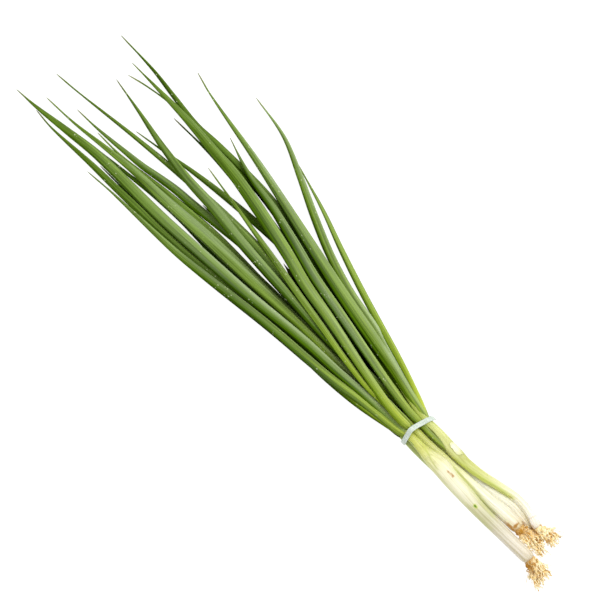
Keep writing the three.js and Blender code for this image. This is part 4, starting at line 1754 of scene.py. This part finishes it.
@dataclass
class RootTuft(PlantPiece):
    """The root plate of one plant and the tuft of roots that grows from it.

    Attributes:
        look: Its soil, hairs and curls.
        main: Roots that the source has too.
        base: Half width of a main root where it leaves the plate, mm.
        tip: Half width at its end, mm.
        low_end: Lowest height of a main root's end, mm.
        wave: How far a main root strays from its line, mm.
        waves: How far round that wave it goes, radians.
        curl: How far its small curls stray, mm.
        curls: How far round them it goes, radians.
        sunk: How deep a root starts in the plate, mm.
        ring: Where it starts, as a share of the plate's radius.
        shortening: How much shorter the outer roots may be.
        matted: Thick matted roots in its middle.
        fray: How far rootlets may stray past the tuft's edge, mm.
        hair_thick: Half width of a stray hair, mm.
        plate_length: Length of the plate, mm.
        plate_share: Width of the plate as a share of the shank's.
        bluntness: How blunt its end is.
        sides: Sides of a root's section.
        flatness: Height of a root's section as a share of its width.
        knobs: How knobbly the roots are, as a share of their radius.
        soil_reach: How far across the bunch the soil clings, mm.
        soil_run: How far down the roots it clings, mm.
    """

    look: TuftLook
    main: int = 12
    base: float = 0.52
    tip: float = 0.30
    low_end: float = 0.75
    wave: float = 0.9
    waves: float = 5.0
    curl: float = 0.45
    curls: float = 21.0
    sunk: float = 1.0
    ring: float = 0.6
    shortening: float = 0.45
    matted: int = 9
    fray: float = 0.6
    hair_thick: float = 0.22
    plate_length: float = 4.5
    plate_share: float = 0.92
    bluntness: float = 0.9
    sides: int = 8
    flatness: float = 0.95
    knobs: float = 0.22
    soil_reach: float = 3.6
    soil_run: float = 8.0

    def build(self, sweep: Sweep, material: Material) -> None:
        """Builds the tuft as one piece.

        Args:
            sweep: The tree that sweeps strands.
            material: The root material.
        """
        foot_x, _, foot_half = self.plant.column[0]
        two = self.column.points(np.array([foot_x, foot_x + 1.0]))
        outward = (two[0] - two[1]) / np.linalg.norm(two[0] - two[1])
        foot = two[0] + outward * 0.05
        half = foot_half * self.plate_share
        reach = np.linspace(0, 1, 10)
        plate = foot + np.outer(reach * self.plate_length, outward)
        tubes = [(plate, half * 0.92 * np.sqrt(1 - (self.bluntness * reach) ** 2))]
        draw = SeededDraw(self.plant.seed)
        tubes += [self.main_root(foot, half, i, draw) for i in range(self.main)]
        loose = random.Random(self.plant.seed + 7)
        for kind, count in ((Rootlet.MATTED, self.matted), (Rootlet.CURLY, self.look.curly)):
            tubes += [self.rootlet(foot, half, loose, kind.value) for _ in range(count)]
        tubes += [self.hair(foot, end, loose) for end in self.look.hairs]
        piece = sweep.run(f"roots_{self.name}", tubes, self.sides, self.flatness, material)
        self.shape(Skin.of(piece, self.flatness), foot)
        clods = self.clods(material, loose)
        if clods:
            join(piece, clods)
        dress(piece, "root", f"plant_{self.name}_roots")

    def main_root(self, foot: np.ndarray, half: float, index: int, draw: SeededDraw) -> Tube:
        """Draws one root that the source has too.

        Args:
            foot: Middle of the shank's foot, mm from the tie.
            half: Half width of the plate, mm.
            index: Number of the root.
            draw: Where its random numbers come from.

        Returns:
            Its tube.
        """
        plant = self.plant
        turn = index * math.pi * (3 - math.sqrt(5))
        spread = math.sqrt((index + 0.5) / self.main)
        across, up = spread * math.cos(turn), spread * math.sin(turn)
        start = foot + np.array([-self.sunk, half * self.ring * across, half * self.ring * up])
        end_y = (plant.low + plant.high) / 2 + (plant.high - plant.low) / 2 * across
        end_z = self.low_end + (plant.top - self.low_end) * (1 + up) / 2
        length = plant.reach * (1 - self.shortening * spread * draw.next()) - self.sunk
        phase = draw.next() * 2 * math.pi
        t = np.linspace(0, 1, 26)
        wave = self.wave * np.sin(phase + self.waves * t) * t * (1 - t / 2)
        curl = self.curl * np.sin(phase * 3 + self.curls * t) * np.sqrt(t)
        y = start[1] + (end_y - start[1]) * t**0.8 + wave + curl
        z = start[2] + (end_z - start[2]) * t + wave / 2 + 0.4 * np.cos(phase * 2 + 19 * t) * t
        halves = self.base + (self.tip - self.base) * t
        y = np.clip(y, plant.low, plant.high)
        return np.column_stack([start[0] - length * t, y, np.maximum(z, halves)]), halves

    def rootlet(self, foot: np.ndarray, half: float, draw: random.Random, sizes: RootletSizes) -> Tube:
        """Draws one short rootlet of the mat.

        Args:
            foot: Middle of the shank's foot, mm from the tie.
            half: Half width of the plate, mm.
            draw: Where its random numbers come from.
            sizes: What its kind is like.

        Returns:
            Its tube.
        """
        plant = self.plant
        turn, spread = draw.uniform(0, 2 * math.pi), math.sqrt(draw.random())
        side = half * spread * math.cos(turn)
        rise = half * LAYING.flatten * spread * math.sin(turn)
        start = foot + np.array([-draw.uniform(0, self.plate_length), side, rise])
        reach = plant.reach * draw.uniform(*sizes.reach) ** sizes.crowding
        end = np.array([
            foot[0] - self.sunk - reach,
            (plant.low + plant.high) / 2 + (plant.high - plant.low) / 2 * draw.uniform(-0.7, 0.7),
            draw.uniform(0.5, plant.top),
        ])
        end[1] = start[1] + (end[1] - start[1]) * (0.35 + 0.65 * min(1.0, reach / 8.0))
        t = np.linspace(0, 1, 24)
        wide = draw.uniform(0.4, 1.2)
        turns = draw.uniform(*sizes.turns)
        first, second = draw.uniform(0, 6.3), draw.uniform(0, 6.3)
        points = start + np.outer(t, end - start)
        points[:, 0] += wide * 0.8 * (np.sin(turns * 0.8 * t + second) - math.sin(second)) * t
        points[:, 1] += wide * (np.sin(turns * t + first) - math.sin(first)) * np.sqrt(t)
        points[:, 2] += wide * 0.7 * (np.cos(turns * t + first) - math.cos(first)) * np.sqrt(t)
        halves = draw.uniform(*sizes.thick) * (1 - 0.45 * t) * np.sqrt(np.clip((1.02 - t) / 0.1, 0.1, 1))
        points[:, 1] = np.clip(points[:, 1], plant.low - self.fray, plant.high + self.fray)
        points[:, 2] = np.clip(points[:, 2], halves, plant.top + 1.0)
        return points, halves

    def hair(self, foot: np.ndarray, end: Sequence[float], draw: random.Random) -> Tube:
        """Draws a stray hair from the foot to an end on the table.

        Args:
            foot: Middle of the shank's foot, mm from the tie.
            end: x and y of its end, mm.
            draw: Where its random numbers come from.

        Returns:
            Its tube.
        """
        t = np.linspace(0, 1, 22)
        target = np.array([end[0], end[1], 0.4])
        points = foot + np.outer(t, target - foot)
        bend, first = draw.uniform(0.6, 1.2), draw.uniform(0, 6.3)
        points[:, 1] += bend * (np.sin(7 * t + first) - math.sin(first)) * t * (1 - t) * 2
        points[:, 2] += 2.0 * t * (1 - t)
        halves = self.hair_thick * (1 - 0.6 * t)
        points[:, 2] = np.maximum(points[:, 2], halves)
        return points, halves

    def shape(self, skin: Skin, foot: np.ndarray) -> None:
        """Makes the plate uneven and the roots knobbly, and writes what the material reads.

        Args:
            skin: The swept plate, which is its first strand, and roots.
            foot: Middle of the shank's foot, mm from the tie.
        """
        x, angle, strand = skin.middle[:, 0], skin.angle, skin.strand
        past = np.maximum(foot[0] - x, 0)
        across = skin.middle[:, 1] - self.look.soil_y - self.look.soil_drift * past
        stain = self.look.soil * np.exp(-past / self.soil_run - (across / self.soil_reach) ** 2) + 0.02
        knobs = 1.0 + self.knobs * np.sin(x * (2.6 + 0.37 * (strand % 5)) + strand * 2.3)
        knobs += 0.12 * np.cos(3 * angle + strand + x * 1.7)
        plate = 1.0 + 0.07 * np.cos(7 * angle + x) + 0.06 * np.sin(4 * angle - 2.0 * x)
        write_marks(skin.mesh, {Mark.STAIN: stain})
        skin.finish(np.where(strand == 0, plate, knobs))

    def clods(self, material: Material, draw: random.Random) -> Object | None:
        """Builds the clods of soil that cling to the roots, each a lumpy closed ball.

        Args:
            material: The root material, which is brown where it is stained.
            draw: Where their random numbers come from.

        Returns:
            All of them as one piece, or None if there are none.
        """
        if not self.look.clods:
            return None
        lumps = bmesh.new()
        for x, y, radius in self.look.clods:
            height = float(self.column.height(np.array([x]))[0]) + draw.uniform(0.4, 1.4)
            centre = to_frame(np.array([[x, y, height]]))[0]
            made = bmesh.ops.create_icosphere(
                lumps, subdivisions=3, radius=radius * MM, matrix=Matrix.Translation(centre)
            )
            phase = [draw.uniform(0, 6.3) for _ in range(3)]
            for vertex in made["verts"]:
                away = vertex.co - Vector(centre)
                turn = away / (radius * MM)
                lump = sum(math.sin(3.1 * turn[i] + phase[i] + 1.7 * turn[i - 1]) for i in range(3))
                vertex.co = Vector(centre) + away * (1 + 0.22 * lump)
                vertex.co.z = max(vertex.co.z, 0.0)
        mesh = bpy.data.meshes.new(f"clods_{self.name}")
        lumps.to_mesh(mesh)
        lumps.free()
        mesh.polygons.foreach_set("use_smooth", [True] * len(mesh.polygons))
        mesh.materials.append(material)
        write_marks(mesh, {Mark.STAIN: np.full(len(mesh.vertices), 0.9)})
        return add_object(mesh.name, mesh)


@dataclass
class PaperyScrap(PlantPiece):
    """A scrap of dry papery sheath that still clings to a shank, its edges curling up.

    Attributes:
        start: x of its end towards the roots, mm.
        end: x of its end towards the leaves, mm.
        turns: From and to where it lies round the shank, radians from +Y over the top.
        rise: How far it lies off the shank, mm.
        curl: How much further its edges stand off, mm.
        thickness: Its thickness, mm.
        half_width: Half its width in its material's pattern, mm.
        grid: Points along it and across it.
    """

    start: float
    end: float
    turns: tuple[float, float]
    rise: float = 0.10
    curl: float = 0.22
    thickness: float = 0.12
    half_width: float = 3.0
    grid: tuple[int, int] = (40, 24)

    def build(self, material: Material) -> None:
        """Builds the scrap as one thin closed shell.

        Args:
            material: The papery material.
        """
        draw = random.Random(self.plant.seed + 3)
        along, across = self.grid
        u, v = np.meshgrid(np.linspace(0, 1, along), np.linspace(-1, 1, across), indexing="ij")
        ragged = [draw.uniform(0, 6.3) for _ in range(4)]
        width = np.sin(math.pi * (0.03 + 0.94 * u)) ** 0.4
        width *= 1 + 0.12 * np.sin(9 * u + ragged[0]) + 0.07 * np.sin(23 * u + ragged[1])
        x = self.start + (self.end - self.start) * u + 0.5 * np.sin(4 * v + ragged[2]) * (1 - u)
        middle, reach = sum(self.turns) / 2, (self.turns[1] - self.turns[0]) / 2
        angle = middle + reach * width * v
        edge = np.maximum(np.abs(v), np.abs(2 * u - 1)) ** 6
        off = self.rise + self.curl * edge * (0.6 + 0.4 * np.sin(6 * u + 3 * v + ragged[3]))
        half = self.column.half_width(x.ravel()).reshape(x.shape)
        centre = self.column.points(x.ravel()).reshape(*x.shape, 3)
        layers = []
        for extra in (off, off + self.thickness):
            place = centre.copy()
            place[..., 1] += (half + extra) * np.cos(angle)
            place[..., 2] += (LAYING.flatten * half + extra) * np.sin(angle)
            place[..., 2] = np.maximum(place[..., 2], 0.02)
            layers.append(place.reshape(-1, 3))
        count = along * across
        index = np.arange(count).reshape(along, across)
        under = np.stack([index[:-1, :-1], index[:-1, 1:], index[1:, 1:], index[1:, :-1]], axis=-1)
        under = under.reshape(-1, 4)
        rim = np.concatenate([index[:, 0], index[-1, 1:], index[-2::-1, -1], index[0, -2:0:-1]])
        following = np.roll(rim, -1)
        edges = np.column_stack([rim, following, following + count, rim + count])
        faces = np.vstack([under, under[:, ::-1] + count, edges]).tolist()
        mesh = smooth_mesh(f"papery_scrap_{self.name}", np.vstack(layers), faces, material)
        lengthwise, plain = np.tile(x.ravel(), 2), np.zeros(2 * count)
        flat = np.column_stack([np.tile((self.half_width * v).ravel(), 2), plain, lengthwise])
        write_marks(mesh, {Mark.SKIN: flat, Mark.RIPE: lengthwise, Mark.STAIN: plain, Mark.GREEN: plain})
        dress(add_object(mesh.name, mesh), "shank")


@dataclass
class RubberBand:
    """The rubber band: a thin strap drawn round every strand at the tie.

    Attributes:
        strands: Every strand of the bunch.
        facets: Corners of its outline.
        corners: Corners of the strap's section.
        slack: Room between it and the strands under it, mm.
        waviness: How far its edges wander, mm.
    """

    strands: list[Strand]
    facets: int = 160
    corners: int = 28
    slack: float = 0.12
    waviness: float = 0.12

    def support(self, angle: float) -> float:
        """Finds how far the strands reach at the tie in a direction.

        Args:
            angle: The direction, radians from +Y over the top.

        Returns:
            The reach, mm from the middle of the bunch on the table, with the band's slack.
        """
        across, up = math.cos(angle), math.sin(angle)
        probes = np.linspace(-BAND.width * 0.6, BAND.width * 0.6, 5)
        furthest = -math.inf
        for strand in self.strands:
            y0 = float(strand.across(np.array([0.0]))[0])
            xs = BAND.lie(y0) + probes
            half = strand.half_width(xs)
            reach = np.hypot(half * across, LAYING.flatten * half * up)
            reach += strand.across(xs) * across + strand.height(xs) * up
            furthest = max(furthest, float(reach.max()))
        return furthest + self.slack

    def build(self, material: Material) -> None:
        """Builds the band as one closed strap.

        Args:
            material: The rubber material.
        """
        angles = np.linspace(0, 2 * math.pi, self.facets, endpoint=False)
        supports = np.array([self.support(a) for a in angles])
        following = np.roll(angles, -1)
        turn = np.sin(following - angles)
        rows: list[np.ndarray] = []
        for extra, edge in self.section():
            low, high = supports + extra, np.roll(supports, -1) + extra
            y = (low * np.sin(following) - high * np.sin(angles)) / turn
            z = (high * np.cos(angles) - low * np.cos(following)) / turn
            x = BAND.lie(y) + edge * BAND.width + self.waviness * np.sin(angles * 5 + 1.0)
            rows.append(np.column_stack([x, y, np.maximum(z, 0.0)]))
        rings = np.stack(rows, axis=1)
        index = np.arange(rings[..., 0].size).reshape(rings.shape[:2])
        beside = np.roll(index, -1, axis=1)
        square = [index, beside, np.roll(beside, -1, axis=0), np.roll(index, -1, axis=0)]
        faces = np.stack(square, axis=-1).reshape(-1, 4).tolist()
        mesh = smooth_mesh("rubber_band_strap", rings.reshape(-1, 3), faces, material)
        dress(add_object(mesh.name, mesh), "band", "rubber_band")

    def section(self) -> list[tuple[float, float]]:
        """Draws the strap's rounded section.

        Returns:
            For each corner, how far out it is, mm, and where across the width, from -0.5 to 0.5.
        """
        outline = []
        for i in range(self.corners):
            turn = 2 * math.pi * (i + 0.5) / self.corners
            wide = math.copysign(abs(math.cos(turn)) ** 0.45, math.cos(turn))
            thick = math.copysign(abs(math.sin(turn)) ** 0.6, math.sin(turn))
            outline.append((BAND.thickness * (0.5 + 0.5 * thick), 0.5 * wide))
        return outline


@dataclass(frozen=True)
class Softbox:
    """A square soft light that looks at the middle of the part: its place and side, m, and power, W."""

    name: str
    place: tuple[float, float, float]
    side: float
    power: float


@dataclass
class Studio:
    """The floor, the lights and the camera.

    Attributes:
        look_at: Middle of the view on the bunch, mm in the part's frame.
        distance: Height of the camera, m.
        view_width: Width of what the camera sees at the bunch, mm.
        right: Direction of the view's right in the part's frame.
        sensor: Width of the camera's sensor, mm.
        floor_size: Side of the floor, m.
        floor_drop: How far the floor is under the part, so that they don't share a face, m.
        floor_colour: Colour of the floor, grey as it also gives off light.
        floor_glow: How much light it gives off, as a white card lit from behind does.
        surround: Strength of the pale surround.
        softboxes: The lights.
    """

    look_at: tuple[float, float, float] = (6.1, 16.7, 4.5)
    distance: float = 3.0
    view_width: float = 333.0
    right: tuple[float, float] = (-0.7198, -0.6942)
    sensor: float = 36.0
    floor_size: float = 6.0
    floor_drop: float = 0.0002
    floor_colour: str = "808080"
    floor_glow: float = 0.93
    surround: float = 0.42
    softboxes: tuple[Softbox, ...] = (
        Softbox("key_softbox", (-0.12, -0.80, 1.20), 0.9, 17.0),
        Softbox("fill_softbox", (0.4, 0.8, 1.1), 1.2, 6.0),
    )

    def build(self) -> None:
        """Builds the floor, the lights and the camera."""
        self.build_floor()
        self.build_lights()
        self.build_camera()

    def build_floor(self) -> None:
        """Lays a wide plain floor of matte white card that is lit from behind."""
        material, tree, shader = new_material("backlit_white_card")
        feed(tree, shader, {
            "Base Color": linear(self.floor_colour),
            "Roughness": 0.95,
            "Specular IOR Level": 0.1,
            "Emission Color": linear("FFFFFF"),
            "Emission Strength": self.floor_glow,
        })
        mesh = bpy.data.meshes.new("floor")
        half = self.floor_size / 2
        corners = [(-half, -half, 0), (half, -half, 0), (half, half, 0), (-half, half, 0)]
        mesh.from_pydata(corners, [], [(0, 1, 2, 3)])
        mesh.materials.append(material)
        floor = add_object("floor", mesh)
        floor.location.z = -self.floor_drop

    def build_lights(self) -> None:
        """Sets the pale surround and hangs the softboxes."""
        world = bpy.data.worlds.new("pale_surround")
        world.use_nodes = True
        sky = {"Color": linear("FFFFFF"), "Strength": self.surround}
        feed(world.node_tree, world.node_tree.nodes["Background"], sky)
        bpy.context.scene.world = world
        for softbox in self.softboxes:
            lamp = bpy.data.lights.new(softbox.name, "AREA")
            lamp.size = softbox.side
            lamp.energy = softbox.power
            holder = add_object(softbox.name, lamp)
            holder.location = softbox.place
            holder.rotation_euler = (-Vector(softbox.place)).to_track_quat("-Z", "Y").to_euler()
            holder.visible_camera = False

    def build_camera(self) -> None:
        """Sets the camera straight above, turned so that the bunch runs up to the left."""
        lens = bpy.data.cameras.new("camera")
        lens.sensor_width = self.sensor
        lens.lens = self.sensor * self.distance / (self.view_width * MM)
        lens.clip_end = 20.0
        camera = add_object("camera", lens)
        right = Vector((*self.right, 0.0)).normalized()
        back = Vector((0.0, 0.0, 1.0))
        up = back.cross(right)
        turned = Matrix((right, up, back)).transposed().to_4x4()
        place = Vector(self.look_at) * MM + back * self.distance
        camera.matrix_world = Matrix.Translation(place) @ turned
        bpy.context.scene.camera = camera
        bpy.context.scene.view_settings.view_transform = "Standard"


# ---- The scene ----

OUTER_SHEATH_A = [[-25, 8.3], [-19, 7.2], [-14, 5.5], [-8, 4.2], [-2, 3.2]]  # x and y of its edge, mm
COLUMN_LOOKS: dict[str, ColumnLook] = {
    "a": ColumnLook(
        stops=((-95, "E6DAC4"), (-88, "EAE1D3"), (-78, "EAE3D6"), (-70, "E0DAC6"), (-62, "D2CFAE"),
               (-55, "DAD7B6"), (-47, "ECE9CE"), (-40, "F6F3DA"), (-26, "F5F2D2"), (-18, "EBEAB2"),
               (-10, "DADC80"), (0, "C4CB5C"), (26, "8FA636")),
        stripes=(
            Stripe([[-66, 5.4], [-56, 4.9], [-44, 3.2], [-33, 2.0], [-26, 1.2]], 0.9, 0.45),
            Stripe([[-70, 11.6], [-40, 11.4], [-20, 9.8], [-6, 8.0]], 1.2, 0.35),
            Stripe(OUTER_SHEATH_A, 0.35, 0.8),
        ),
        edges=(SheathEdge(OUTER_SHEATH_A, 0.35, -1),),
        spots=(
            Spot(-31.4, 4.9, 1.5, 0.9, 1.2), Spot(-28.4, 4.9, 1.5, 0.8, 1.1),
            Spot(-92, 5.5, 2.0, 2.0, 0.3), Spot(-51.0, 8.4, 0.7, 0.7, 0.28),
        ),
        # The second bruise is painted shade: the dark gap between the necks of a and b.
        bruises=(Spot(-52.5, 8.3, 1.0, 0.8, 1.2), Spot(-3.6, 7.6, 3.0, 0.45, 0.8)),
    ),
    "b": ColumnLook(
        stops=((-48, "E4DABC"), (-40, "E2DEC0"), (-25, "D0D7A0"), (-10, "BBC980"), (6, "A4B85E"),
               (26, "88A446")),
    ),
    "c": ColumnLook(
        stops=((-79, "E6D4AC"), (-74, "F5ECD8"), (-66, "F8F4E6"), (-50, "F8F6E2"), (-34, "EFEEC4"),
               (-20, "E0E29A"), (-10, "D3D780"), (2, "BCC654"), (26, "8FA636")),
        stripes=(
            Stripe([[-66, 4.6], [-55, 3.6], [-44, 2.6], [-33, 1.9], [-26, 1.2]], 1.3, 0.75),
            # Painted highlight: a white streak along c's flank towards the light.
            Stripe([[-79, -8.0], [-60, -6.0], [-50, -4.2], [-42, -2.2], [-35, -1.0]], 2.0, -1.0),
            Stripe([[-76, 1.6], [-60, 1.9], [-44, 0.9], [-30, -0.2]], 0.35, 0.4),
            Stripe([[-74, -1.4], [-58, -0.6], [-44, -0.3]], 0.3, 0.3),
        ),
        edges=(
            SheathEdge([[-72, 2.8], [-60, 2.7], [-44, 1.6], [-30, 0.8]], 0.25, -1),
            SheathEdge([[-78, -2.0], [-62, -1.4], [-48, -0.6]], 0.2, 1),
        ),
        spots=(
            Spot(-75.0, 3.0, 5.0, 1.1, 1.1), Spot(-76.4, 0.6, 0.8, 2.6, 1.5),
            Spot(-79, 2.4, 3.0, 2.0, 0.9), Spot(-64, 3.8, 6.0, 0.5, 0.4),
        ),
    ),
    "d": ColumnLook(
        stops=((-86, "F3EADA"), (-79, "FBF7EC"), (-66, "F5F0D4"), (-55, "ECEBBE"), (-44, "DBDE96"),
               (-32, "D1D784"), (-22, "D9DD96"), (-8, "D8DC90"), (4, "B7C45A"), (26, "8AA23A")),
        stripes=(
            Stripe([[-67, -9.3], [-55, -7.5], [-44, -5.0], [-36, -3.3], [-24, -1.8]], 1.4, 1.0),
            Stripe([[-62, -9.6], [-50, -7.4], [-40, -5.2]], 0.3, 0.6),
            Stripe([[-60, -10.8], [-44, -7.6], [-30, -6.4]], 0.3, 0.35),
        ),
        edges=(SheathEdge([[-70, -9.6], [-55, -7.7], [-44, -5.4], [-32, -3.9]], 0.25, -1),),
        spots=(Spot(-63.0, -8.9, 1.6, 0.6, 0.8), Spot(-80.3, -8.5, 0.45, 3.6, 0.75),
               Spot(-84, -6.0, 2.0, 2.0, 0.5)),
    ),
    "e": ColumnLook(
        stops=((-84, "EFE2C4"), (-76, "F7F1E2"), (-66, "FCFAF0"), (-44, "FCFBF2"), (-32, "ECEDC8"),
               (-16, "C4CC70"), (6, "9DB040"), (26, "8AA23A")),
        stripes=(
            Stripe([[-66, -8.8], [-60, -7.7], [-55, -6.6], [-44, -4.4], [-34, -3.4]], 0.9, 1.0),
            # Painted highlight: a white streak over e's flank, which lies in shade between c and d.
            Stripe([[-80, -4.4], [-66, -5.8], [-55, -4.2], [-44, -2.5], [-34, -2.2]], 2.2, -1.0),
        ),
        spots=(Spot(-79, -3.5, 3.0, 1.6, 0.6),),
    ),
}
TUFT_LOOKS: dict[str, TuftLook] = {
    "a": TuftLook(1.25, 11.5, 0.1, 75, ((-110, 18.9), (-104, 20.5), (-107.5, 2.2), (-109, 12.0),
                                        (-106, 17.5))),
    "b": TuftLook(0.6, 8.0, 0.0, 24),
    "c": TuftLook(1.15, 3.0, -0.75, 70, ((-100, 3.8), (-103, -1.5)),
                  ((-82.5, 2.2, 1.3), (-84.5, -1.0, 1.1), (-86.5, 1.2, 0.9), (-81.5, -2.6, 0.8))),
    "d": TuftLook(0.2, -7.0, 0.0, 70, ((-99, -15.5), (-101.2, -12.4), (-102.5, -8.0))),
    "e": TuftLook(0.8, -4.0, 0.0, 36),
}


def main() -> None:
    """Builds the bunch, piece by piece, and then the studio."""
    logging.basicConfig(level=logging.INFO, format="%(name)s: %(message)s")
    strands = lay_bunch()
    sweep = Sweep()
    leaf = LeafFinish().make()
    root = RootFinish().make()
    for name in PLANTS:
        look = COLUMN_LOOKS[name]
        sheath = SheathFinish(f"moist_allium_sheath_{name}", look.stops).make()
        neck = Column(name, strands, look).build(sweep, sheath)
        LeafSpray(name, strands).build(sweep, leaf, neck)
        RootTuft(name, strands, TUFT_LOOKS[name]).build(sweep, root)
    papery = SheathFinish(
        "dry_papery_sheath",
        ((-31, "CDD486"), (-27, "DBDFA0"), (-24, "F0EFCC"), (-21, "F7F4DA"), (-18, "DDE0A2")),
        sink=0.0,
    )
    scrap = PaperyScrap("d", strands, start=-27.5, end=-18.5, turns=(1.55, 2.75))
    scrap.build(papery.make())
    RubberBand(strands).build(BandFinish().make())
    Studio().build()
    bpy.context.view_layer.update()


if __name__ == "__main__":
    main()
